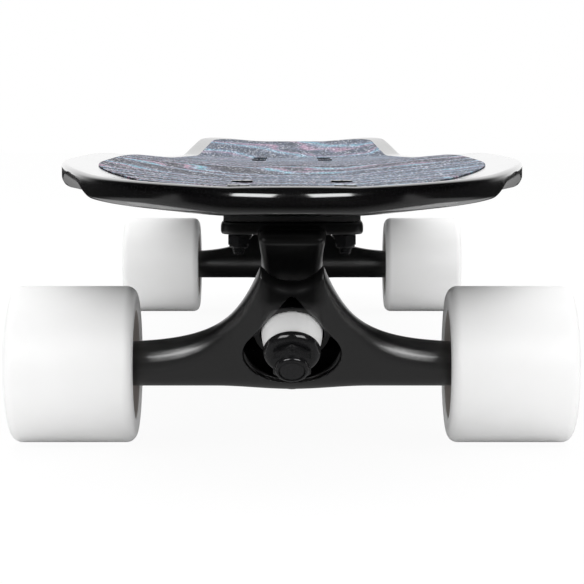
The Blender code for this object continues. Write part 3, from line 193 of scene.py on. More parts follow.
def soft_box(name, place, width, height, power, shown_in):
    """A soft box aimed at the trucks. It is a shine on gloss or a light on matt surfaces, not both."""
    lamp = bpy.data.lights.new(name, "AREA")
    lamp.shape = "RECTANGLE"
    lamp.size = width
    lamp.size_y = height
    lamp.energy = power
    obj = bpy.data.objects.new(name, lamp)
    bpy.context.scene.collection.objects.link(obj)
    obj.location = place
    obj.rotation_euler = (AIM - Vector(place)).to_track_quat("-Z", "Y").to_euler()
    obj.visible_diffuse = shown_in == "matt"
    obj.visible_glossy = shown_in == "gloss"
    return obj


for side in (-1, 1):
    place = (side * 1.10, -1.95, 0.95)
    soft_box(f"shine_{side}", place, width=1.3, height=1.0, power=21.0, shown_in="gloss")
for side in (-1, 1):
    place = (side * 1.8, -1.0, 0.25)
    soft_box(f"side_fill_{side}", place, width=0.9, height=0.6, power=3.0, shown_in="matt")
soft_box("top_fill", (0.0, 0.3, 1.9), width=1.8, height=1.4, power=17.0, shown_in="matt")
print("two shines, two side fills and a top fill")

# %% [markdown]
# ## A short way to write shader maths
# Node trees are long to write link by link. The class below wraps one socket, so that sums can be written
# as Python sums, and Finish makes a material and any other node from its type, settings and values.


# %% Shader helpers
class Socket:
    """An output of a node that can stand in a Python sum."""

    def __init__(self, finish, socket):
        self.finish = finish
        self.socket = socket

    def maths(self, operation, *others):
        """A Math node on this socket and the others, in that order."""
        values = dict(enumerate((self, *others)))
        return self.finish.node("ShaderNodeMath", {"operation": operation}, values)["Value"]

    def __add__(self, other):
        return self.maths("ADD", other)

    __radd__ = __add__

    def __mul__(self, other):
        return self.maths("MULTIPLY", other)

    __rmul__ = __mul__

    def __sub__(self, other):
        return self.maths("SUBTRACT", other)

    def __rsub__(self, other):
        return self.finish.node("ShaderNodeMath", {"operation": "SUBTRACT"}, {0: other, 1: self})["Value"]

    def __gt__(self, other):
        return self.maths("GREATER_THAN", other)

    def clamped(self):
        """The value, held between 0 and 1."""
        return self.maths("MINIMUM", 1.0).maths("MAXIMUM", 0.0)


class Finish:
    """One procedural material on Object coordinates."""

    def __init__(self, name, roughness, metallic=0.0, coat=0.0, ior=1.5):
        self.slot = name
        self.material = bpy.data.materials.new(name.replace("_", " "))
        self.material.use_nodes = True
        self.tree = self.material.node_tree
        self.shader = self.tree.nodes["Principled BSDF"]
        self.shader.inputs["Roughness"].default_value = roughness
        self.shader.inputs["Metallic"].default_value = metallic
        self.shader.inputs["Coat Weight"].default_value = coat
        self.shader.inputs["IOR"].default_value = ior
        self.shader.inputs["Coat Roughness"].default_value = 0.08
        self.place = self.node("ShaderNodeTexCoord")["Object"]

    def node(self, kind, settings=None, values=None):
        """Any node: its settings first, then the values or links of its sockets. Returns its outputs."""
        node = self.tree.nodes.new(kind)
        for name, value in (settings or {}).items():
            if name == "stops":
                ramp = node.color_ramp.elements
                while len(ramp) < len(value):
                    ramp.new(0.5)
                for element, (position, colour) in zip(ramp, value):
                    element.position = position
                    element.color = (*colour, 1.0)
            else:
                setattr(node, name, value)
        for name, value in (values or {}).items():
            self.connect(value, node.inputs[name])
        return {output.name: Socket(self, output) for output in node.outputs if output.enabled}

    def connect(self, value, target):
        """Links a socket, or sets a plain value or colour."""
        if isinstance(value, Socket):
            self.tree.links.new(value.socket, target)
        elif isinstance(value, tuple) and len(value) == 3 and target.type == "RGBA":
            target.default_value = (*value, 1.0)
        else:
            target.default_value = value

    def feed(self, name, value):
        """A value or link for one socket of the surface shader."""
        self.connect(value, self.shader.inputs[name])
        return self

    def noise(self, scale, detail=3.0, roughness=0.5, place=None):
        """A Noise texture, on the piece's own places unless others are given."""
        values = {"Vector": place or self.place, "Scale": scale, "Detail": detail, "Roughness": roughness}
        return self.node("ShaderNodeTexNoise", None, values)

    def stretched(self, scale):
        """Places on the piece, scaled apart along each axis."""
        return self.node("ShaderNodeMapping", None, {"Vector": self.place, "Scale": scale})["Vector"]

    def mix(self, factor, first, second):
        """A colour between two. A Mix node keeps its colour sockets at 6 and 7, and its result at 2."""
        node = self.tree.nodes.new("ShaderNodeMix")
        node.data_type = "RGBA"
        for index, value in {0: factor, 6: first, 7: second}.items():
            self.connect(value, node.inputs[index])
        return Socket(self, node.outputs[2])

    def bump(self, height, distance, strength=1.0):
        """A Bump node from a height into the shader's Normal."""
        values = {"Height": height, "Distance": distance, "Strength": strength}
        self.feed("Normal", self.node("ShaderNodeBump", None, values)["Normal"])
        return self


print("shader helpers ready")

# %% [markdown]
# ## Black lacquer
# The deck is maple under many coats of black lacquer, rubbed to a gloss. A nearly black base under a
# smooth coat gives the white rim at grazing angles. The wood still shows in the lacquer as long shallow
# ripples, so the bump is a noise stretched along the board with a fine orange peel, and specks of dust
# are a little lighter and rougher.

# %% Lacquer
lacquer = Finish("black_lacquer", 0.12, coat=1.0, ior=2.0)
ripple = lacquer.noise(1.0, 2.0, place=lacquer.stretched((90.0, 6.0, 90.0)))["Fac"]
peel = lacquer.noise(420.0, 2.0)["Fac"]
DUST_ABOVE = 0.79
dust = lacquer.noise(2600.0, 1.0)["Fac"] > DUST_ABOVE
lacquer.feed("Base Color", lacquer.mix(dust * 0.2, (0.002, 0.002, 0.0022), (0.03, 0.03, 0.03)))
lacquer.feed("Roughness", 0.11 + 0.04 * lacquer.noise(30.0)["Fac"] + dust * 0.1)
lacquer.feed("Coat Roughness", 0.13)
lacquer.bump(ripple * 0.7 + peel * 0.3, 0.00003, 0.5)
print(lacquer.material.name)

# %% [markdown]
# ## Printed grip
# The sheet is clear grit over a print. The print here is an ordinary marbling: broad bands whose
# place is pushed about by slow noise, in slate, mauve, pale blue, teal and a little pink, with a pale
# haze over parts of it. The grit is a fine cell pattern, longer along the board so that single grains
# survive the camera's low angle. Painted shade darkens nearly half of the grains, painted glints lighten a
# few, and all are roughened.

# %% Marbled print
grip = Finish("printed_grip", 0.8)
slow = grip.noise(7.0, 2.0)["Color"]
push = grip.node("ShaderNodeVectorMath", {"operation": "SCALE"}, {0: slow, "Scale": 0.16})["Vector"]
pushed = grip.node("ShaderNodeVectorMath", {"operation": "ADD"}, {0: grip.place, 1: push})["Vector"]
band_place = grip.node("ShaderNodeMapping", None, {"Vector": pushed, "Rotation": (0.0, 0.0, 0.25)})["Vector"]
bands = grip.node(
    "ShaderNodeTexWave",
    {"wave_type": "BANDS", "bands_direction": "Y"},
    {"Vector": band_place, "Scale": 5.5, "Distortion": 5.0, "Detail": 3.0, "Detail Scale": 1.4},
)["Fac"]
marble_stops = [
    (0.00, (0.036, 0.036, 0.056)),
    (0.26, (0.105, 0.100, 0.150)),
    (0.38, (0.190, 0.205, 0.300)),
    (0.48, (0.240, 0.450, 0.620)),
    (0.56, (0.120, 0.480, 0.560)),
    (0.65, (0.440, 0.520, 0.680)),
    (0.75, (0.170, 0.165, 0.250)),
    (0.84, (0.560, 0.280, 0.400)),
    (0.91, (0.130, 0.125, 0.190)),
    (1.00, (0.036, 0.036, 0.056)),
]
marble = grip.node("ShaderNodeValToRGB", {"stops": marble_stops}, {"Fac": bands})["Color"]
HAZE_FROM = 0.44
HAZE_COLOUR = (0.26, 0.36, 0.50)
haze = ((grip.noise(3.2, 2.0)["Fac"] - HAZE_FROM) * 5.0).clamped() * 0.35
clouded = grip.mix(haze, marble, HAZE_COLOUR)
print("marbling has", len(marble_stops), "stops")

# %% Grit over the print
GRAINS_PER_METRE = (1300.0, 620.0, 4200.0)
PAINTED_SHADE_BELOW = 0.45
PAINTED_GLINT_ABOVE = 0.90
grain_values = {"Vector": grip.stretched(GRAINS_PER_METRE), "Scale": 1.0}
grains = grip.node("ShaderNodeTexVoronoi", {"feature": "F1"}, grain_values)
grain_shade = grip.node("ShaderNodeSeparateColor", None, {0: grains["Color"]})["Red"]
# painted shade on the darkest grains, then painted glints on the lightest
painted_grain_shade = grip.mix((PAINTED_SHADE_BELOW - grain_shade > 0.0) * 0.70, clouded, (0.008, 0.008, 0.012))
painted_grain_glints = grip.mix((grain_shade > PAINTED_GLINT_ABOVE) * 0.62, painted_grain_shade, (0.90, 0.90, 0.95))
grip.feed("Base Color", painted_grain_glints)
grip.feed("Roughness", 0.50 + 0.35 * grain_shade)
grip.bump(grain_shade, 0.00014, 0.6)
print(grip.material.name)

# %% [markdown]
# ## Urethane, paint, steel and rubber
# Wheels and bushings are cast urethane: white, a little soft in its shine, with a faint mottling. In
# the recess round each bearing the wheel is greyer, a change of colour by the distance from the nearer
# axle. The trucks are cast and painted gloss black, so a fine orange peel breaks their highlights.
# Fasteners are blackened steel, the bearings and axles bright ground steel, and the riser pads matt
# rubber.

# %% Urethane
urethane = Finish("white_urethane", 0.42)
cloud = urethane.noise(60.0, 3.0)["Fac"]
scuff = urethane.noise(700.0, 2.0)["Fac"]
milky = urethane.mix(cloud, (0.86, 0.86, 0.855), (0.90, 0.90, 0.90))
GREY_RECESS_RADIUS = 0.0214
WHEELS_BEGIN = 0.055
point = urethane.node("ShaderNodeSeparateXYZ", None, {0: urethane.place})
above = point["Z"] - WHEEL_RADIUS
from_front = point["Y"] - FRONT_AXLE_Y
from_rear = point["Y"] - REAR_AXLE_Y
near_front = from_front * from_front + above * above
near_rear = from_rear * from_rear + above * above
beside_hanger = point["X"].maths("ABSOLUTE") > WHEELS_BEGIN
# greyer within this distance of either axle, in the recess round each bearing
grey_recess = (GREY_RECESS_RADIUS**2 - near_front.maths("MINIMUM", near_rear) > 0.0) * beside_hanger
urethane.feed("Base Color", urethane.mix(grey_recess, milky, (0.46, 0.42, 0.40)))
urethane.feed("Roughness", 0.34 + 0.16 * scuff)
urethane.bump(scuff, 0.00002, 0.4)
print(urethane.material.name)

# %% [markdown]
# In the photograph no shine reaches the hanger's pocket or its saddle. A mask finds them by their place
# on either truck, seen in the leaning frame of the hanger's ring, and makes the paint there rougher and
# without its coat. A metal of a nearly black colour mirrors almost nothing, so the mask feeds Metallic.

# %% Where the casting is dull: painted shade in the pocket and on the saddle
casting = Finish("black_painted_casting", 0.3, coat=0.2, ior=2.0)
spot = casting.node("ShaderNodeSeparateXYZ", None, {0: casting.place})
at_rear = spot["Y"] > 0.0
from_axle = (spot["Y"] - FRONT_AXLE_Y - at_rear * WHEELBASE) * (1.0 - 2.0 * at_rear)
above_axle = spot["Z"] - WHEEL_RADIUS
aside = spot["X"].maths("ABSOLUTE")

EGG_SHIFT = 0.0040
EGG_NARROWING = 2600.0
EGG_SHORTENING = 1975.0
POCKET_DEPTH = 0.0060
ahead = from_axle + RING_ABOVE_AXLE * math.sin(SLOPE)
up = spot["Z"] - WHEEL_RADIUS - RING_ABOVE_AXLE * math.cos(SLOPE)
along_web = up * math.cos(SLOPE) - ahead * math.sin(SLOPE) + EGG_SHIFT
through_web = 0.0 - up * math.sin(SLOPE) - ahead * math.cos(SLOPE)
beyond_egg = spot["X"] * spot["X"] * EGG_NARROWING
egg = (1.0 - beyond_egg - along_web * along_web * EGG_SHORTENING) * 20.0
recessed = (POCKET_DEPTH - through_web) * 1200.0

WEDGE_TOP = 0.0262
SADDLE_HALF = 0.0135
SADDLE_FROM = 0.0225
wedge = (WEDGE_TOP - above_axle * 0.85 - aside) * 1500.0
on_saddle = ((SADDLE_HALF - aside) * 180.0).clamped() * ((above_axle - SADDLE_FROM) * 200.0).clamped()
# painted shade: the pocket and the saddle under the neck are made to mirror nothing
painted_shade_places = (egg.clamped() * wedge.clamped()).maths("MAXIMUM", 0.85 * on_saddle)
painted_shade = painted_shade_places * recessed.clamped() * (through_web > -POCKET_DEPTH)
print("the mask reaches", POCKET_DEPTH, "m to each side of the web")

# %% Painted casting
skin = casting.noise(650.0, 3.0)["Fac"]
casting.feed("Base Color", casting.mix(skin, (0.0015, 0.0015, 0.0017), (0.003, 0.003, 0.0033)))
# painted shade: a nearly black metal, rough and uncoated, mirrors almost nothing
casting.feed("Metallic", painted_shade)
casting.feed("Coat Weight", 0.2 - 0.2 * painted_shade)
casting.feed("Roughness", 0.24 + 0.14 * casting.noise(55.0)["Fac"] + 0.3 * painted_shade)
casting.bump(skin, 0.00006, 0.35)
print(casting.material.name)

# %% Steels
black_steel = Finish("black_steel", 0.28, coat=0.35, ior=1.5)
pits = black_steel.noise(1500.0, 2.0)["Fac"]
black_steel.feed("Base Color", black_steel.mix(pits, (0.006, 0.006, 0.0065), (0.014, 0.014, 0.015)))
black_steel.feed("Roughness", 0.10 + 0.08 * pits)
black_steel.bump(pits, 0.00001, 0.25)
bright_steel = Finish("bright_steel", 0.25, metallic=1.0)
lines = bright_steel.noise(1.0, 2.0, place=bright_steel.stretched((2500.0, 90.0, 90.0)))["Fac"]
bright_steel.feed("Base Color", bright_steel.mix(lines, (0.52, 0.52, 0.54), (0.68, 0.68, 0.69)))
bright_steel.feed("Roughness", 0.16 + 0.2 * lines)
print(black_steel.material.name, bright_steel.material.name)

# %% Rubber and cup urethane
rubber = Finish("black_rubber", 0.72)
grain = rubber.noise(1200.0, 2.0)["Fac"]
rubber.feed("Base Color", rubber.mix(grain, (0.010, 0.010, 0.010), (0.020, 0.020, 0.020)))
rubber.feed("Roughness", 0.6 + 0.2 * grain).bump(grain, 0.00005, 0.6)
cup = Finish("pivot_urethane", 0.5)
cup_grain = cup.noise(900.0)["Fac"]
cup.feed("Base Color", cup.mix(cup_grain, (0.035, 0.035, 0.035), (0.06, 0.06, 0.06)))
cup.feed("Roughness", 0.4 + 0.2 * cup_grain)
print(rubber.material.name, cup.material.name)

# %% [markdown]
# ## Modelling by hand, in code
# Each piece starts from a primitive and is shaped in edit mode. An operator works on all that is
# selected, so everything is deselected first and the next step's part is picked by its place.


# %% Picking and adding
def new_shape(name, add, **settings):
    """A primitive on its own, selected and active."""
    bpy.ops.object.select_all(action="DESELECT")
    add(**settings)
    shape = bpy.context.object
    shape.name = name
    shape.data.name = name
    return shape


def pick(shape):
    """Only this shape selected, and active."""
    bpy.ops.object.select_all(action="DESELECT")
    shape.select_set(True)
    bpy.context.view_layer.objects.active = shape


def edit(shape, mode="VERT"):
    """Edit mode with nothing selected."""
    pick(shape)
    bpy.ops.object.mode_set(mode="EDIT")
    bpy.ops.mesh.select_mode(type=mode)
    bpy.ops.mesh.select_all(action="DESELECT")


def leave():
    """Back to object mode, which also writes the edits into the mesh."""
    bpy.ops.object.mode_set(mode="OBJECT")


def outline_face(name, points):
    """One flat face with the given (x, y) outline."""
    shape = new_shape(name, bpy.ops.mesh.primitive_circle_add, vertices=len(points), fill_type="NGON")
    for vert, (x, y) in zip(shape.data.vertices, points):
        vert.co = (x, y, 0.0)
    return shape


def extruded(name, points, low, high):
    """A flat outline pulled up from one height to another."""
    shape = outline_face(name, points)
    edit(shape, "FACE")
    bpy.ops.mesh.select_all(action="SELECT")
    bpy.ops.transform.translate(value=(0.0, 0.0, low))
    bpy.ops.mesh.extrude_region_move(TRANSFORM_OT_translate={"value": (0.0, 0.0, high - low)})
    bpy.ops.mesh.select_all(action="SELECT")
    bpy.ops.mesh.normals_make_consistent(inside=False)
    leave()
    return shape


def block(name, size, place=(0.0, 0.0, 0.0)):
    """A cube stretched to a size round a place, only ever used to cut or to fill a larger shape."""
    shape = new_shape(name, bpy.ops.mesh.primitive_cube_add, size=1.0)
    edit(shape)
    bpy.ops.mesh.select_all(action="SELECT")
    bpy.ops.transform.resize(value=size)
    bpy.ops.transform.translate(value=place)
    leave()
    return shape


print("picking helpers ready")

# %% [markdown]
# Round pieces are spun: one point is extruded from place to place down the profile, and the profile is
# then spun a full turn about Z. Doubles at the seam and at the poles are merged, and the normals are
# made to point outwards.


# %% Spinning a profile
def spun(name, profile, steps=96, closed=False):
    """A profile of (radius, height) points spun about Z. A closed profile returns to its first point."""
    shape = new_shape(name, bpy.ops.mesh.primitive_plane_add, size=0.001)
    edit(shape)
    bpy.ops.mesh.select_all(action="SELECT")
    bpy.ops.mesh.merge(type="CENTER")
    here = Vector((0.0, 0.0, 0.0))
    first = True
    for radius, height in profile:
        step = Vector((radius, 0.0, height)) - here
        if first:
            bpy.ops.transform.translate(value=step)
            first = False
        else:
            bpy.ops.mesh.extrude_region_move(TRANSFORM_OT_translate={"value": step})
        here += step
    if closed:
        step = Vector((profile[0][0], 0.0, profile[0][1])) - here
        bpy.ops.mesh.extrude_region_move(TRANSFORM_OT_translate={"value": step})
    bpy.ops.mesh.select_all(action="SELECT")
    if closed:
        bpy.ops.mesh.remove_doubles(threshold=0.000001)
        bpy.ops.mesh.select_all(action="SELECT")
    bpy.ops.mesh.spin(steps=steps, angle=2 * math.pi, center=(0, 0, 0), axis=(0, 0, 1))
    bpy.ops.mesh.select_all(action="SELECT")
    bpy.ops.mesh.remove_doubles(threshold=0.000002)
    bpy.ops.mesh.normals_make_consistent(inside=False)
    leave()
    return shape


def arc(centre, radius, start, end, steps=6):
    """Profile points on an arc, angles in degrees."""
    points = []
    for step in range(steps + 1):
        turn = math.radians(start + (end - start) * step / steps)
        points.append((centre[0] + radius * math.cos(turn), centre[1] + radius * math.sin(turn)))
    return points


print("spin helper ready")


# %% Modifiers, joining and cutting
def apply(shape, kind, **settings):
    """Adds a modifier with its settings and applies it."""
    modifier = shape.modifiers.new(kind.title(), kind)
    for name, value in settings.items():
        setattr(modifier, name, value)
    pick(shape)
    bpy.ops.object.modifier_apply(modifier=modifier.name)
    return shape


def joined(shape, operation, others):
    """Adds or cuts the other shapes, which are used up. The Manifold solver leaves no open edges."""
    apply(shape, "TRIANGULATE")
    for other in others:
        apply(other, "TRIANGULATE")
        apply(shape, "BOOLEAN", operation=operation, object=other, solver="MANIFOLD")
        bpy.data.objects.remove(other)
    return shape


def rounded(shape, width, segments=3, angle=30.0):
    """Every edge sharper than the angle, rounded."""
    sharp = {"limit_method": "ANGLE", "angle_limit": math.radians(angle)}
    return apply(shape, "BEVEL", width=width, segments=segments, **sharp)


def moved(shape, matrix):
    """Moves the mesh itself, so that the object stays at the origin."""
    shape.data.transform(matrix)
    return shape


def rod(name, radius, low, high, matrix=Matrix.Identity(4), sides=64):
    """A plain rod along Z, only ever used to cut or to fill a larger shape."""
    add = bpy.ops.mesh.primitive_cylinder_add
    shape = new_shape(name, add, vertices=sides, radius=radius, depth=high - low)
    return moved(shape, matrix @ Matrix.Translation((0.0, 0.0, (low + high) / 2)))


print("modifier helpers ready")

# %% [markdown]
# A finished piece gets its material, rides on its body and stands for its node. What repeats is modelled
# once; each copy has its own mesh, placed by a matrix. The matrix KINGPIN stands for the leaning frame
# of a truck: its origin is the middle of the hanger's ring, and its Z runs down the kingpin to its nut.

# %% Placing finished pieces
BODIES = {}
for body, nodes in frame["record"]["behaviour"]["bodies"].items():
    for node in nodes:
        BODIES[node] = body


def finished(shape, node, finish, angle=35.0):
    """Smooth shading up to an angle, a name after the node, and a material."""
    pick(shape)
    bpy.ops.object.shade_smooth_by_angle(angle=math.radians(angle))
    shape.name = f"{node}_dressed"
    shape.data.name = shape.name
    shape.data.materials.clear()
    shape.data.materials.append(finish.material)


def dressed(shape, node, finish, angle=35.0):
    """The shape, finished, in the place of a frame node."""
    finished(shape, node, finish, angle)
    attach(shape, BODIES[node])
    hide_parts(node)
    return shape


def placed(pattern, node, matrix):
    """One copy of the pattern with its own mesh, moved by the matrix."""
    shape = bpy.data.objects.new(node, pattern.data.copy())
    bpy.context.scene.collection.objects.link(shape)
    return moved(shape, matrix)


def copies(pattern, places, finish, angle=35.0):
    """A copy of the pattern for each node, at its matrix; the pattern itself is used up."""
    for node, matrix in places.items():
        dressed(placed(pattern, node, matrix), node, finish, angle)
    bpy.data.objects.remove(pattern)
    print(len(places), "x", finish.material.name)


TRUCKS = {
    "front": Matrix.Translation((0.0, FRONT_AXLE_Y, 0.0)),
    "rear": Matrix.Translation((0.0, REAR_AXLE_Y, 0.0)) @ Matrix.Rotation(math.pi, 4, "Z"),
}
RING_HEIGHT = WHEEL_RADIUS + RING_ABOVE_AXLE * math.cos(SLOPE)
RING_PLACE = Vector((0.0, -RING_ABOVE_AXLE * math.sin(SLOPE), RING_HEIGHT))
KINGPIN = Matrix.Translation(RING_PLACE) @ Matrix.Rotation(math.pi / 2 + SLOPE, 4, "X")


def on_trucks(name, matrix=Matrix.Identity(4)):
    """A place on each truck, under the name of its node."""
    return {f"{end}_{name}": truck @ matrix for end, truck in TRUCKS.items()}


print("trucks at", FRONT_AXLE_Y, REAR_AXLE_Y)

# %% [markdown]
# ## The board's shape
# The deck's surface is flat over the trucks, hollow between the rails, a little arched along its middle
# and kicked up at the tail. One function gives its height, and one gives its outline, so the deck
# and the grip sheet lie exactly on each other.


# %% Height and outline
CAMBER = 0.0024
FLAT_PAST_AXLE = 0.0735
NOSE_RISE = 0.0046
NOSE_RISE_FROM = 0.014
KICK_FROM = 0.034
KICK_RADIUS = 0.160
KICK_ANGLE = math.radians(7.0)
RAIL_RISE = 0.0095
RAIL_RISE_LOST = 0.0059
TAIL_RAIL_RISE = 0.0055
FLAT_HALF = 0.0215
HALF_WIDEST = 0.10075
HALF_TAIL = 0.063
TAIL_CORNER = 0.022
WIDEST_Y = FRONT_AXLE_Y + 0.125


def ease(value):
    """A soft step from 0 to 1."""
    value = min(1.0, max(0.0, value))
    return value * value * (3.0 - 2.0 * value)


def board_height(x, y):
    """The height of the board's top: camber, nose and kicktail along it, the hollow across it."""
    front_flat = FRONT_AXLE_Y + FLAT_PAST_AXLE
    rear_flat = REAR_AXLE_Y - FLAT_PAST_AXLE
    between = min(1.0, max(0.0, (y - front_flat) / (rear_flat - front_flat)))
    rise = CAMBER * math.sin(math.pi * between) ** 2
    nose_start = FRONT_AXLE_Y - NOSE_RISE_FROM
    if y < nose_start:
        rise += NOSE_RISE * ((nose_start - y) / (nose_start - NOSE_Y)) ** 1.6
    bend = KICK_RADIUS * KICK_ANGLE / 2
    past = y - (REAR_AXLE_Y + KICK_FROM)
    if past > bend:
        rise += past * math.tan(KICK_ANGLE)
    elif past > -bend:
        rise += (past + bend) ** 2 / (2 * KICK_RADIUS)
    depth = RAIL_RISE - RAIL_RISE_LOST * ease((y - FRONT_AXLE_Y - 0.04) / WHEELBASE)
    depth += TAIL_RAIL_RISE * ease(past / (TAIL_Y - REAR_AXLE_Y - KICK_FROM))
    out = max(0.0, abs(x) - FLAT_HALF) / (HALF_WIDEST - FLAT_HALF)
    return DECK_TOP + rise + depth * out**1.25


def half_width(y, nose_y, tail_y, widest, tail, corner):
    """Half the outline's width: an elliptic nose, then a taper to a square tail with round corners."""
    if y < WIDEST_Y:
        return widest * math.sqrt(max(0.0, 1.0 - ((WIDEST_Y - y) / (WIDEST_Y - nose_y)) ** 2))
    along = (y - WIDEST_Y) / (tail_y - WIDEST_Y)
    past = max(0.0, (y - tail_y + corner) / corner)
    round_off = corner * (1.0 - math.sqrt(max(0.0, 1.0 - past**2)))
    return widest - (widest - tail) * along**1.9 - round_off


NOSE_MARGIN = 0.027
SIDE_MARGIN = 0.0155
TAIL_MARGIN = 0.009
DECK_OUTLINE = (NOSE_Y, TAIL_Y, HALF_WIDEST, HALF_TAIL, TAIL_CORNER)
GRIP_OUTLINE = (
    NOSE_Y + NOSE_MARGIN,
    TAIL_Y - TAIL_MARGIN,
    HALF_WIDEST - SIDE_MARGIN,
    HALF_TAIL - TAIL_MARGIN,
    TAIL_CORNER - TAIL_MARGIN / 2,
)
print("widest", round(2 * half_width(WIDEST_Y, *DECK_OUTLINE), 4))


# %% Even points round an outline
FINE_STEPS = 400
CORNER_STEPS = 100


def outline_points(outline, spacing):
    """Points round the outline, anticlockwise from the nose, evenly spaced."""
    nose_y, tail_y, widest, tail, corner = outline
    stations = []
    for step in range(1, FINE_STEPS):
        turn = math.pi / 2 * step / FINE_STEPS
        stations.append(nose_y + (WIDEST_Y - nose_y) * (1.0 - math.cos(turn)))
    for step in range(FINE_STEPS):
        stations.append(WIDEST_Y + (tail_y - corner - WIDEST_Y) * step / FINE_STEPS)
    for step in range(CORNER_STEPS + 1):
        turn = math.pi / 2 * step / CORNER_STEPS
        stations.append(tail_y - corner + corner * math.sin(turn))
    fine = [(0.0, nose_y), *((half_width(y, *outline), y) for y in stations), (0.0, tail_y)]
    lengths = [0.0]
    for (x0, y0), (x1, y1) in zip(fine, fine[1:]):
        lengths.append(lengths[-1] + math.hypot(x1 - x0, y1 - y0))
    count = round(lengths[-1] / spacing)
    right = []
    index = 0
    for step in range(1, count):
        target = lengths[-1] * step / count
        while lengths[index + 1] < target:
            index += 1
        share = (target - lengths[index]) / (lengths[index + 1] - lengths[index])
        (x0, y0), (x1, y1) = fine[index], fine[index + 1]
        right.append((x0 + (x1 - x0) * share, y0 + (y1 - y0) * share))
    left = [(-x, y) for x, y in reversed(right)]
    return [(0.0, nose_y), *right, (0.0, tail_y), *left]


def inward_normals(points):
    """At each point of a closed outline, the direction into it."""
    normals = []
    for index in range(len(points)):
        (x0, y0), (x1, y1) = points[index - 1], points[(index + 1) % len(points)]
        length = math.hypot(x1 - x0, y1 - y0)
        normals.append((-(y1 - y0) / length, (x1 - x0) / length))
    return normals


RAIL_SPACING = 0.004
print(len(outline_points(DECK_OUTLINE, RAIL_SPACING)), "points round the deck")

# %% [markdown]
# The deck is grown as rings. The first ring lies folded along the middle of the top; it is extruded
# outwards ring by ring to the rail, round the rail's radius, down the side and back under. Rings that
# follow the outline keep the rail even all the way round, which a grid would not. The upper edge is
# crisp along the sides and fuller at the nose, where the photograph shows broad highlights.


# %% Growing rings
def ringed(name, rings):
    """A closed skin through rings of points, each ring extruded from the one before."""
    count = len(rings[0])
    shape = new_shape(name, bpy.ops.mesh.primitive_circle_add, vertices=count, fill_type="NOTHING")
    for vert, place in zip(shape.data.vertices, rings[0]):
        vert.co = place
    for ring in rings[1:]:
        edit(shape)
        leave()
        first = len(shape.data.vertices) - count
        for index in range(first, first + count):
            shape.data.vertices[index].select = True
        bpy.ops.object.mode_set(mode="EDIT")
        bpy.ops.mesh.extrude_edges_move()
        leave()
        for index, place in enumerate(ring):
            shape.data.vertices[first + count + index].co = place
    edit(shape)
    bpy.ops.mesh.select_all(action="SELECT")
    bpy.ops.mesh.remove_doubles(threshold=0.00001)
    bpy.ops.mesh.normals_make_consistent(inside=False)
    leave()
    return shape


def board_rings(outline, lift, thickness, top_radius, nose_radius, low_radius, round_steps=5):
    """Rings from the top's middle line over the rail to the bottom's middle line.

    The top edge's radius grows to nose_radius where the rail faces forwards.
    """
    across = 12
    points = outline_points(outline, RAIL_SPACING)
    rail = [(Vector(edge), Vector(inward)) for edge, inward in zip(points, inward_normals(points))]
    spine_low = outline[0] + 0.060
    spine_high = outline[1] - 0.045
    spine = [Vector((0.0, min(spine_high, max(spine_low, y)))) for x, y in points]
    growth = nose_radius - top_radius
    top_rounds = [top_radius + growth * max(0.0, inward.y) ** 4 for edge, inward in rail]
    low_rounds = [low_radius] * len(rail)

    def ring(rounds, inset, share, below, drop):
        """One ring. Its inset and drop are in shares of the rounding's radius at each point."""
        places = []
        for (edge, inward), middle, size in zip(rail, spine, rounds):
            flat = edge + inward * inset * size
            flat = middle + (flat - middle) * share
            height = board_height(flat.x, flat.y) + lift - below - drop * size
            places.append((flat.x, flat.y, height))
        return places

    rings = [ring(top_rounds, 1.0, step / across, 0.0, 0.0) for step in range(across + 1)]
    for step in range(1, round_steps + 1):
        turn = math.pi / 2 * step / round_steps
        rings.append(ring(top_rounds, 1.0 - math.sin(turn), 1.0, 0.0, 1.0 - math.cos(turn)))
    for step in range(round_steps + 1):
        turn = math.pi / 2 * step / round_steps
        rings.append(ring(low_rounds, 1.0 - math.cos(turn), 1.0, thickness, math.sin(turn) - 1.0))
    for step in range(across - 1, -1, -1):
        rings.append(ring(low_rounds, 1.0, step / across, thickness, 0.0))
    return rings


print("ring helpers ready")

# %% Deck
deck_edges = {"top_radius": 0.0022, "nose_radius": 0.0044, "low_radius": 0.0036}
deck = ringed("deck", board_rings(DECK_OUTLINE, 0.0, DECK_THICKNESS, **deck_edges, round_steps=8))
print(len(deck.data.polygons), "faces in the deck")

# %% [markdown]
# The wheel wells are scooped from the underside with a large round cutter that leans out through the
# rail over each wheel, so the cut is deepest at the rail.

# %% Wheel wells
WELL_RADIUS = 0.120
WELL_LEAN = math.radians(35)
WELL_INBOARD = 0.005
WELL_REACH = 0.0105

wells = []
for axle_y, inboard in ((FRONT_AXLE_Y, 1), (REAR_AXLE_Y, -1)):
    for side in (-1, 1):
        well_y = axle_y + inboard * WELL_INBOARD
        x = half_width(axle_y, *DECK_OUTLINE) - WELL_REACH
        start = Vector((side * x, well_y, board_height(x, well_y) - DECK_THICKNESS))
        lean = Vector((side * math.cos(WELL_LEAN), 0.0, math.sin(WELL_LEAN)))
        inward = Vector((side * math.sin(WELL_LEAN), 0.0, -math.cos(WELL_LEAN)))
        turn = lean.to_track_quat("Z", "Y").to_matrix().to_4x4()
        middle = Matrix.Translation(start + inward * WELL_RADIUS)
        wells.append(rod("well", WELL_RADIUS, -0.03, 0.06, middle @ turn, sides=360))
joined(deck, "DIFFERENCE", wells)
dressed(deck, "deck", lacquer, 28.0)
print("four wells cut")

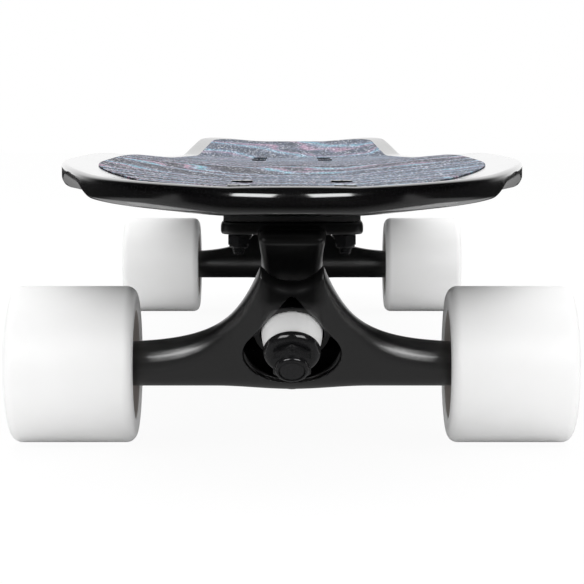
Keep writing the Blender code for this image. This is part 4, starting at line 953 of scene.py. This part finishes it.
# %% Grip sheet
BOLT_ROWS = (BOLT_ROW, BOLT_ROW - BOLT_PITCH)
BOLT_PLACES = [(side * BOLT_SPACING / 2, row) for row in BOLT_ROWS for side in (-1, 1)]
SHEET_THICKNESS = 0.0005
PUNCH_RADIUS = 0.0049
sheet_edges = {"top_radius": 0.0002, "nose_radius": 0.0002, "low_radius": 0.0002}
sheet_rings = board_rings(GRIP_OUTLINE, GRIP_TOP, SHEET_THICKNESS, **sheet_edges, round_steps=3)
sheet = ringed("grip", sheet_rings)
punches = []
for truck in TRUCKS.values():
    for across, outboard in BOLT_PLACES:
        place = truck @ Matrix.Translation((across, -outboard, 0.0))
        punches.append(rod("punch", PUNCH_RADIUS, 0.09, 0.12, place))
joined(sheet, "DIFFERENCE", punches)
dressed(sheet, "grip_sheet", grip)
print(len(sheet.data.polygons), "faces in the grip sheet")

# %% [markdown]
# ## Wheels and bearings
# Each wheel is one block of urethane, spun from its profile: a flat tread, full round lips, a face that
# slopes a little inwards and a deep recess round the bearing seat on both sides.

# %% Wheel
half = WHEEL_WIDTH / 2
seat = 0.0113
lip = 0.0040
wheel_side = [
    (0.0076, 0.0047),
    (seat, 0.0047),
    (seat, 0.0120),
    *arc((0.0135, 0.0135), 0.0015, 270, 340, 4),
    (0.0192, 0.0150),
    (0.0200 + 0.0012, half - 0.0012),
    *arc((0.0226, half - 0.0014), 0.0014, 180, 95, 4),
    *arc((WHEEL_RADIUS - lip, half - lip), lip, 88, 0, 8),
]
wheel_profile = wheel_side + [(radius, -height) for radius, height in reversed(wheel_side)]
wheel = spun("wheel", wheel_profile, steps=128, closed=True)
print(len(wheel.data.polygons), "faces in a wheel")


# %% Where the wheels stand
def wheel_places(name, offset=0.0):
    """A place at each wheel, Z pointing outwards, moved outwards by the offset."""
    places = {}
    for end, truck in TRUCKS.items():
        for side_name, side in (("left", -1), ("right", 1)):
            middle = Matrix.Translation((side * WHEEL_CENTRE, 0.0, WHEEL_RADIUS))
            outwards = Matrix.Rotation(side * math.pi / 2, 4, "Y") @ Matrix.Translation((0.0, 0.0, offset))
            places[f"{end}_{side_name}_{name}"] = truck @ middle @ outwards
    return places


copies(wheel, wheel_places("wheel"), urethane, 40.0)

# %% [markdown]
# A ball bearing shows three rings from the side: the outer race, a thin pressed shield set a little
# deeper, and the inner race round the axle. The steps between them catch the light, so they are in
# the profile.

# %% Bearing
bearing_side = [
    (0.0043, 0.0032),
    *arc((0.0046, 0.0032), 0.0003, 180, 90, 3),
    (0.0060, 0.0035),
    (0.0062, 0.0029),
    (0.0068, 0.0027),
    (0.0088, 0.0027),
    (0.0093, 0.0030),
    (0.0095, 0.0035),
    *arc((0.0107, 0.0032), 0.0003, 90, 0, 3),
]
bearing_profile = bearing_side + [(radius, -height) for radius, height in reversed(bearing_side)]
bearing = spun("bearing", bearing_profile, steps=64, closed=True)
BEARING_CENTRE = 0.0085
bearing_places = wheel_places("outer_bearing", BEARING_CENTRE)
bearing_places.update(wheel_places("inner_bearing", -BEARING_CENTRE))
copies(bearing, bearing_places, bright_steel)

# %% [markdown]
# ## Nuts
# A real nut is a hexagon whose corners are turned off by a cone, and a locking nut has a round collar
# over its nylon ring. A hexagon is cut by a turned double cone, which leaves the curved edges that
# a plain bevel would not.


# %% Locking nut
def lock_nut(name, flats, height, collar, bore, washer=0.0):
    """A locking nut from Z zero up, on a washer of the given thickness."""
    corner = flats / math.sqrt(3)
    face = flats / 2 * 0.96
    top = washer + height
    nut = rod(name, corner, washer, top, sides=6)
    slope = (corner - flats / 2) * 0.62
    cone = [(0.0, top), (face, top), (corner, top - slope), (corner, washer + slope)]
    cone += [(face, washer), (0.0, washer)]
    joined(nut, "INTERSECT", [spun("cone", cone, steps=96)])
    radius = flats / 2 * 0.92
    peak = top + collar
    dome = [(0.0, peak), (radius * 0.78, peak)]
    dome += arc((radius * 0.80, top + collar * 0.35), radius * 0.2, 80, 0, 4)
    dome += [(radius, top - 0.0008), (0.0, top - 0.0008)]
    joined(nut, "UNION", [spun("dome", dome, steps=72)])
    if washer:
        disc = [(0.0, washer + 0.0001), (0.0063, washer + 0.0001), (0.0065, washer - 0.0002)]
        disc += [(0.0065, 0.0), (0.0, 0.0)]
        joined(nut, "UNION", [spun("disc", disc, steps=72)])
    joined(nut, "DIFFERENCE", [rod("bore", bore, -0.01, peak + 0.01)])
    return nut


AXLE_NUT_AT = 0.0123
axle_nut = lock_nut("axle_nut", flats=0.0127, height=0.0052, collar=0.0016, bore=0.0043, washer=0.0010)
copies(axle_nut, wheel_places("axle_nut", AXLE_NUT_AT), black_steel)

# %% Kingpin nut
HEX_FLATS = 0.0142
KINGPIN_BORE = 0.00505
KINGPIN_NUT_AT = 0.0178
kingpin_nut = lock_nut("kingpin_nut", flats=HEX_FLATS, height=0.0050, collar=0.0020, bore=KINGPIN_BORE)
nut_place = KINGPIN @ Matrix.Translation((0.0, 0.0, KINGPIN_NUT_AT))
copies(kingpin_nut, on_trucks("kingpin_nut", nut_place), black_steel)

# %% Deck nuts
BOLT_HOLE = 0.0027
deck_nut = lock_nut("deck_nut", flats=0.0080, height=0.0040, collar=0.0013, bore=BOLT_HOLE)
under_plate = Matrix.Translation((0.0, 0.0, PLATE_TOP - PLATE_THICKNESS - GAP))
down = under_plate @ Matrix.Rotation(math.pi, 4, "X")
nut_places = {}
for number, (across, outboard) in enumerate(BOLT_PLACES, start=1):
    place = Matrix.Translation((across, -outboard, 0.0)) @ down
    nut_places.update(on_trucks(f"deck_nut_{number}", place))
copies(deck_nut, nut_places, black_steel)

# %% [markdown]
# ## Bolts, kingpin and axle
# The deck bolts have a flat countersunk head with a cross recess, and the bolts and the axles carry
# thread at their ends. Threads are too fine for the picture's distance as a true helix, so they are
# close rings, which read the same. The kingpin's end is plain: its nut and the washer cover it.


# %% Threads
def threaded(radius, low, high, pitch, depth):
    """Profile points of a threaded stretch, read upwards."""
    points = []
    turns = int((high - low) / pitch)
    for turn in range(turns):
        base = low + turn * pitch
        points += [(radius - depth, base), (radius, base + pitch * 0.5)]
    points.append((radius - depth, low + turns * pitch))
    return points


# %% Deck bolts
THREAD_DEPTH = 0.0003
SLOT_SIZE = (0.0052, 0.0011, 0.0030)
bolt_profile = [(0.0, -0.0268), (0.0017, -0.0268)]
bolt_profile += threaded(0.0024, low=-0.0262, high=-0.0150, pitch=0.0008, depth=THREAD_DEPTH)
bolt_profile += [(0.0024, -0.0145), (0.0024, -0.0030), (0.0045, -0.0006), (0.0046, -0.0004)]
bolt_profile += [(0.0044, 0.0), (0.0, 0.0)]
deck_bolt = spun("deck_bolt", bolt_profile, steps=40)
slots = [moved(block("slot", SLOT_SIZE), Matrix.Rotation(turn, 4, "Z")) for turn in (0.0, math.pi / 2)]
joined(deck_bolt, "DIFFERENCE", slots)
bolt_places = {}
for number, (across, outboard) in enumerate(BOLT_PLACES, start=1):
    place = Matrix.Translation((across, -outboard, BOLT_HEAD_TOP))
    bolt_places.update(on_trucks(f"deck_bolt_{number}", place))
copies(deck_bolt, bolt_places, black_steel)

# %% Kingpin
kingpin_profile = [(0.0, -0.0330), (0.00475, -0.0330), (0.00475, 0.0150)]
kingpin_profile += [(0.00490, 0.0160), (0.00490, 0.0244), (0.0045, 0.0247), (0.0, 0.0247)]
kingpin = spun("kingpin", kingpin_profile, steps=64)
head = rod("head", HEX_FLATS / math.sqrt(3), -0.0343, -0.0283, sides=6)
rounded(head, 0.0005, 2)
joined(kingpin, "UNION", [head])
copies(kingpin, on_trucks("kingpin", KINGPIN), black_steel)

# %% Axle
AXLE_RADIUS = 0.0040
AXLE_HALF = 0.1075
axle_end = [(AXLE_RADIUS, 0.094)]
axle_end += threaded(AXLE_RADIUS, low=0.0945, high=0.1068, pitch=0.0010, depth=THREAD_DEPTH)
axle_end += [(0.0032, 0.1072), (0.0030, AXLE_HALF), (0.0, AXLE_HALF)]
axle_profile = [(radius, -height) for radius, height in reversed(axle_end)] + axle_end
axle = spun("axle", axle_profile, steps=48)
level = Matrix.Translation((0.0, 0.0, WHEEL_RADIUS)) @ Matrix.Rotation(math.pi / 2, 4, "Y")
copies(axle, on_trucks("axle", level), bright_steel)

# %% [markdown]
# ## Bushings and washers
# The white bushing under the hanger is seen between the casting and its washer, so it has the rounded
# edges of a moulded piece. The bushings give when the truck steers, but here each is a fixed shape
# on both trucks.


# %% Bushings
def bushing(name, profile, fixed, moving):
    """A bushing on both trucks. Its fixed and moving ends are worked out, but it does not bend."""
    pattern = spun(name, profile, steps=96, closed=True)
    for node, matrix in on_trucks(name, KINGPIN).items():
        shape = placed(pattern, node, matrix)
        finished(shape, node, urethane)
        matrix @ Vector((0, 0, fixed))
        matrix @ Vector((0, 0, moving))
        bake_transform(shape)
        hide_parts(node)
    bpy.data.objects.remove(pattern)
    print(name, "bends from", fixed, "to", moving)


roadside = [(KINGPIN_BORE, 0.0157), (0.0094, 0.0157), (0.0096, 0.0154), (0.0097, 0.0140), (0.0103, 0.0124)]
roadside += [(0.0108, 0.0106), (0.0112, 0.0088), (0.0115, 0.0068), (0.0117, 0.0046), (0.0117, 0.0036)]
roadside += [(0.0115, 0.0031), (0.0110, 0.0028), (KINGPIN_BORE, 0.0028)]
bushing("roadside_bushing", roadside, fixed=0.0157, moving=0.0028)
boardside = [(KINGPIN_BORE, -0.0028), (0.0100, -0.0028), (0.0107, -0.0036), (0.0107, -0.0138)]
boardside += [(0.0100, -0.0145), (KINGPIN_BORE, -0.0145)]
bushing("boardside_bushing", boardside, fixed=-0.0145, moving=-0.0028)

# %% Washers
cup_profile = [(KINGPIN_BORE, 0.0160), (0.0098, 0.0160), (0.0099, 0.0142), (0.0108, 0.0141)]
cup_profile += [*arc((0.0080, 0.0145), 0.0030, 0, 90, 10), (KINGPIN_BORE, 0.0175)]
cup_washer = spun("cup_washer", cup_profile, steps=96, closed=True)
copies(cup_washer, on_trucks("cup_washer", KINGPIN), black_steel)
flat_profile = [(KINGPIN_BORE, -0.0160), (0.0103, -0.0160), (0.0105, -0.0158), (0.0105, -0.0150)]
flat_profile += [(0.0103, -0.0148), (KINGPIN_BORE, -0.0148)]
flat_washer = spun("flat_washer", flat_profile, steps=72, closed=True)
copies(flat_washer, on_trucks("flat_washer", KINGPIN), black_steel)

# %% [markdown]
# ## Hanger
# The hanger is one casting: a beam along the axle whose arms sweep up in a curve to two horns, with a
# round saddle between them. It is grown rib by rib along the axle from a section of two circles joined
# by their tangents. The ring, bridge and pivot stem are added, the pocket and bores cut, and a fine
# remesh with a little smoothing then melts the joins into the fillets that a casting has.


# %% Hanger ribs
TUBE_RADIUS = 0.0085
TUBE_SWELL = 0.0013
SWELL_REACH = 0.030
ARM_RISE = 0.1087
ARM_FALL = 0.0129
EDGE_RADIUS = 0.0047
EDGE_GROWTH = 0.020
SADDLE_RADIUS = 0.0126
SADDLE_HEIGHT = 0.0440
SADDLE_STRETCH = 1.15


def arm_height(x):
    """The hanger's top edge over the axle: arms that fall off from the horns, and the saddle."""
    arm = TUBE_RADIUS + ARM_RISE * math.exp(-abs(x) / ARM_FALL)
    if abs(x) >= SADDLE_RADIUS:
        return arm
    dip = SADDLE_RADIUS - math.sqrt(SADDLE_RADIUS**2 - x**2)
    return min(arm, SADDLE_HEIGHT + SADDLE_STRETCH * dip)


def hanger_rib(x, edge_points=11, beam_points=21):
    """One rib in the ring's frame: a small circle at the edge, tangents and the beam's circle."""
    beam = TUBE_RADIUS + TUBE_SWELL * (1.0 - ease(abs(x) / SWELL_REACH))
    height = arm_height(x)
    widest = beam - 0.0002
    edge = widest - (widest - EDGE_RADIUS) * ease((height - beam) / EDGE_GROWTH)
    spread = max(height - edge, (beam - edge) / math.cos(math.radians(30)))
    tangent = math.acos((beam - edge) / spread)
    points = []
    for step in range(edge_points):
        turn = tangent * (1.0 - 2.0 * step / (edge_points - 1))
        points.append((spread + edge * math.cos(turn), edge * math.sin(turn)))
    for step in range(beam_points):
        turn = -tangent - (2 * math.pi - 2 * tangent) * step / (beam_points - 1)
        points.append((beam * math.cos(turn), beam * math.sin(turn)))
    return [Vector((x, y - RING_ABOVE_AXLE, z)) for y, z in points]


HORN = 0.01178
BEAM_END = 0.07145
RIBS_IN = 12
RIBS_OUT = 34
ribs_out = [HORN * (BEAM_END / HORN) ** (step / RIBS_OUT) for step in range(1, RIBS_OUT + 1)]
ribs_half = [HORN * step / RIBS_IN for step in range(RIBS_IN + 1)] + ribs_out
rib_places = [-x for x in reversed(ribs_half[1:])] + ribs_half
print(len(rib_places), "ribs")

# %% Hanger body
hanger = ringed("hanger", [hanger_rib(x) for x in rib_places])
edit(hanger, "EDGE")
bpy.ops.mesh.select_non_manifold(extend=False)
bpy.ops.mesh.edge_face_add()
bpy.ops.mesh.select_all(action="SELECT")
bpy.ops.mesh.normals_make_consistent(inside=False)
leave()
print(len(hanger.data.polygons), "faces before the additions")


# %% Pocket outline
EGG_HALF_ACROSS = 0.0190
EGG_HALF_HIGH = 0.0118
EGG_MIDDLE = 0.0055
APEX_RADIUS = 0.0022
APEX_HEIGHT = 0.0270


def pocket_outline(steps=40):
    """An egg seen from the front, its small end up, in metres from the axle."""
    points = []
    for step in range(steps + 1):
        turn = math.radians(35) - math.radians(250) * step / steps
        points.append((EGG_HALF_ACROSS * math.cos(turn), EGG_MIDDLE + EGG_HALF_HIGH * math.sin(turn)))
    return points + arc((0.0, APEX_HEIGHT), APEX_RADIUS, 155, 25, 8)


def pocket(floor, lowest):
    """The egg carried level into the front, down to a floor in the ring's frame."""
    cutter = extruded("pocket", pocket_outline(), -0.03, 0.03)
    standing = Matrix.Translation((0.0, -0.03, WHEEL_RADIUS)) @ Matrix.Rotation(math.pi / 2, 4, "X")
    moved(cutter, KINGPIN.inverted() @ standing)
    edit(cutter)
    bpy.ops.mesh.select_all(action="SELECT")
    bpy.ops.mesh.bisect(plane_co=(0, 0, floor), plane_no=(0, 0, 1), use_fill=True, clear_inner=True)
    if lowest is not None:
        bpy.ops.mesh.select_all(action="SELECT")
        low = lowest - RING_ABOVE_AXLE
        bpy.ops.mesh.bisect(plane_co=(0, low, 0), plane_no=(0, 1, 0), use_fill=True, clear_inner=True)
    leave()
    return cutter


print(len(pocket_outline()), "points round the pocket")

# %% Hanger additions and cuts
PIVOT = Vector((0.0, -0.0370, -0.0140))
BALL_RADIUS = 0.0045
RING_RADIUS = 0.0145
SHOULDER_RADIUS = 0.0065
SEAT_RADIUS = 0.0121
stem_frame = Matrix.Translation(PIVOT) @ (-PIVOT).to_track_quat("Z", "Y").to_matrix().to_4x4()
joined(hanger, "DIFFERENCE", [pocket(floor=-0.0025, lowest=0.0125), pocket(floor=0.0048, lowest=None)])
stem_profile = [(0.0, 0.0250), (0.0065, 0.0250), (BALL_RADIUS, 0.0060)]
stem_profile += arc((0.0, 0.0), BALL_RADIUS, 0, -90, 8)
stem = moved(spun("stem", stem_profile, steps=48), stem_frame)
bridge = block("bridge", (0.0150, 0.0098, 0.0090), (0.0, 0.0089, 0.0010))
additions = [rod("ring", RING_RADIUS, -0.0052, 0.0055, sides=96), bridge, stem]
sideways = Matrix.Translation((0.0, -RING_ABOVE_AXLE, 0.0)) @ Matrix.Rotation(math.pi / 2, 4, "Y")
for side in (-1, 1):
    low, high = sorted((side * 0.0694, side * 0.07245))
    additions.append(rod("shoulder", SHOULDER_RADIUS, low, high, sideways))
joined(hanger, "UNION", additions)
bores = [
    rod("spot_face", 0.0155, -0.03, -0.0052, sides=96),
    rod("ring_bore", 0.0080, -0.03, 0.03),
    rod("roadside_seat", SEAT_RADIUS, 0.0025, 0.03, sides=96),
    rod("boardside_seat", SEAT_RADIUS, -0.03, -0.0025, sides=96),
]
joined(hanger, "DIFFERENCE", bores)
print(len(hanger.data.polygons), "faces before the remesh")

# %% Cast skin
def cast(shape, voxel, smoothing, keep):
    """Melts sharp joins into small fillets, then thins the mesh."""
    apply(shape, "REMESH", mode="VOXEL", voxel_size=voxel)
    apply(shape, "SMOOTH", factor=0.5, iterations=smoothing)
    apply(shape, "DECIMATE", ratio=keep)
    return shape


cast(hanger, voxel=0.00050, smoothing=3, keep=0.40)
copies(hanger, on_trucks("hanger", KINGPIN), casting, 80.0)

# %% [markdown]
# ## Baseplate
# The baseplate is cast too: a flat plate with six holes, a neck that carries the round boss over the
# bushing, and a leg down to the pivot cup with a hollow in each side. Its side views are outlines
# pulled across the truck, and the same fine remesh gives the fillets.


# %% Side outlines
STANDING = Matrix(((0, 0, -1, 0), (-1, 0, 0, 0), (0, 1, 0, 0), (0, 0, 0, 1)))


def side_outline(name, profile, half_across, radius, segments=4):
    """An (outboard, height) outline pulled across the truck, its edges rounded."""
    shape = extruded(name, profile, -half_across, half_across)
    rounded(shape, radius, segments)
    return moved(shape, STANDING)


def rounded_corners(half_x, low_y, high_y, radius, steps=8):
    """A rectangle with round corners."""
    points = []
    for x, y, first in (
        (half_x - radius, high_y - radius, 0),
        (radius - half_x, high_y - radius, 90),
        (radius - half_x, low_y + radius, 180),
        (half_x - radius, low_y + radius, 270),
    ):
        points += arc((x, y), radius, first, first + 90, steps)
    return points


under = PLATE_TOP - PLATE_THICKNESS
plate_outline = rounded_corners(half_x=0.0275, low_y=-0.0115, high_y=0.0735, radius=0.007)
plate = extruded("baseplate", plate_outline, under, PLATE_TOP)
rounded(plate, 0.0009, 3)
print("plate", len(plate.data.polygons), "faces")

# %% Neck, leg and housing
PIVOT_FRAME = KINGPIN @ stem_frame
BOSS_RADIUS = 0.0122
NECK_HALF = 0.0132
rim_front = KINGPIN @ Vector((0.0, BOSS_RADIUS, -0.0108))
rim_middle = KINGPIN @ Vector((0.0, 0.0, -0.0108))
back = KINGPIN @ Vector((0.0, 0.0, -0.0395))
shoulder = PLATE_TOP - 0.0020
face_rise = (0.0280 + rim_front.y) / math.tan(SLOPE)
neck_profile = [
    (-0.0200, PLATE_TOP - PLATE_THICKNESS / 2),
    (0.0115, shoulder),
    (0.0240, shoulder),
    (0.0280, shoulder - 0.0030),
    (0.0270, min(shoulder - 0.0055, rim_front.z + face_rise)),
    (-rim_front.y, rim_front.z),
    (-rim_middle.y, rim_middle.z),
    (-back.y, back.z),
]
neck = extruded("neck", neck_profile, -NECK_HALF, NECK_HALF)
for vert in neck.data.vertices:
    vert.co.z *= 1.0 - max(0.0, 0.15 * (shoulder - vert.co.y) / NECK_HALF)
rounded(neck, 0.0052, 6)
moved(neck, STANDING)
seat_place = PIVOT_FRAME @ Vector((0.0, 0.0, -0.00225))
deep = PIVOT_FRAME @ Vector((0.0, 0.0, -0.0063))
inside = PLATE_TOP - PLATE_THICKNESS / 2
leg_profile = [
    (-0.0260, inside),
    (-0.0645, inside),
    (-0.0625, under - 0.0060),
    (-deep.y - 0.0075, deep.z + 0.0035),
    (-deep.y - 0.0015, deep.z - 0.0030),
    (-seat_place.y, seat_place.z),
    (-seat_place.y + 0.0005, seat_place.z + 0.0080),
    (-seat_place.y - 0.0045, seat_place.z + 0.0340),
]
leg = side_outline("leg", leg_profile, 0.0080, 0.0020)
hollow_profile = [
    (-0.0370, under - 0.0060),
    (-0.0535, under - 0.0060),
    (-deep.y - 0.0085, deep.z + 0.0170),
    (-deep.y - 0.0055, deep.z + 0.0170),
]
hollows = []
for side in (-1, 1):
    hollow = side_outline("hollow", hollow_profile, 0.0040, 0.0010, 2)
    hollows.append(moved(hollow, Matrix.Translation((side * 0.0072, 0.0, 0.0))))
joined(leg, "DIFFERENCE", hollows)
housing = rod("housing", 0.0087, -0.0087, 0.0024, PIVOT_FRAME)
rounded(housing, 0.0012, 3)
boss = rod("boss", BOSS_RADIUS, -0.0420, -0.0105, KINGPIN, sides=96)
joined(plate, "UNION", [neck, boss, leg, housing])
print("baseplate", len(plate.data.polygons), "faces")

# %% Baseplate bores
bores = [
    rod("kingpin_hole", KINGPIN_BORE, -0.0620, 0.0, KINGPIN),
    rod("head_pocket", HEX_FLATS / math.sqrt(3) + GAP, -0.0620, -0.0280, KINGPIN),
    rod("bushing_recess", 0.0111, -0.0163, 0.0, KINGPIN, sides=96),
    rod("cup_seat", 0.0069, -0.0069, 0.0220, PIVOT_FRAME),
]
for row in (*BOLT_ROWS, BOLT_ROW - LONG_PITCH):
    for side in (-1, 1):
        place = Matrix.Translation((side * BOLT_SPACING / 2, -row, PLATE_TOP))
        bores.append(rod("hole", BOLT_HOLE, -0.01, 0.01, place, sides=32))
joined(plate, "DIFFERENCE", bores)
cast(plate, voxel=0.00055, smoothing=4, keep=0.4)
copies(plate, on_trucks("baseplate"), casting, 80.0)

# %% [markdown]
# ## Pieces that keep their frame shape
# Riser pads, pivot cups and bearing spacers are plain shapes that the frame already has right, and
# little of them shows. They keep their meshes and get a finish.

# %% Riser pads, cups and spacers
kept = {
    "riser_pad": rubber,
    "pivot_cup": cup,
    "left_bearing_spacer": bright_steel,
    "right_bearing_spacer": bright_steel,
}
for end in TRUCKS:
    for name, finish in kept.items():
        node = frame["nodes"][f"{end}_{name}"]
        node.data.materials.clear()
        node.data.materials.append(finish.material)
print(len(kept) * len(TRUCKS), "frame pieces finished")

# %% [markdown]
# ## Floor
# The floor is pale and plain. To the camera it is as white as the background, while the board still
# stands in its soft shadow. Gloss sees another floor: almost black, with a soft light band under the
# front truck and a pale strip outside the wheels on each side, like cards laid down by a photographer.

# %% Floor
floor = new_shape("floor", bpy.ops.mesh.primitive_plane_add, size=12.0)
pale = Finish("pale_floor", 0.9)
floor_grain = pale.noise(40.0)["Fac"]
pale.feed("Base Color", pale.mix(floor_grain, (0.93, 0.93, 0.93), (0.96, 0.96, 0.96)))
floor.data.materials.append(pale.material)
floor_place = pale.node("ShaderNodeSeparateXYZ", None, {0: pale.place})
along = floor_place["Y"]
across = floor_place["X"].maths("ABSOLUTE")


def floor_step(dark_at, light_at):
    """A soft step along the floor, from 0 at one place to 1 at the other, either way round."""
    values = {"Value": along, "From Min": dark_at, "From Max": light_at}
    return pale.node("ShaderNodeMapRange", {"interpolation_type": "SMOOTHSTEP"}, values)["Result"]


def floor_light(strength):
    """White light of its own."""
    values = {"Color": (1.0, 1.0, 1.0), "Strength": strength}
    return pale.node("ShaderNodeEmission", None, values)["Emission"]


SEEN_LIGHT = 0.94
band = floor_step(-0.46, -0.28) * floor_step(0.0, -0.15)
card_across = (across > 0.115) * (0.20 - across > 0.0)
card_along = (along > -0.23) * (0.10 - along > 0.0)
mirrored = floor_light(0.015 + 0.19 * band + card_across * card_along * 0.36)
rays = pale.node("ShaderNodeLightPath")
reflected = pale.node("ShaderNodeMixShader", None, {0: rays["Is Glossy Ray"], 2: mirrored})["Shader"]
seen_values = {0: rays["Is Camera Ray"] * SEEN_LIGHT, 1: reflected, 2: floor_light(1.0)}
seen = pale.node("ShaderNodeMixShader", None, seen_values)["Shader"]
pale.tree.links.new(pale.shader.outputs[0], reflected.socket.node.inputs[1])
pale.tree.links.new(seen.socket, pale.tree.nodes["Material Output"].inputs["Surface"])
print("floor ready")
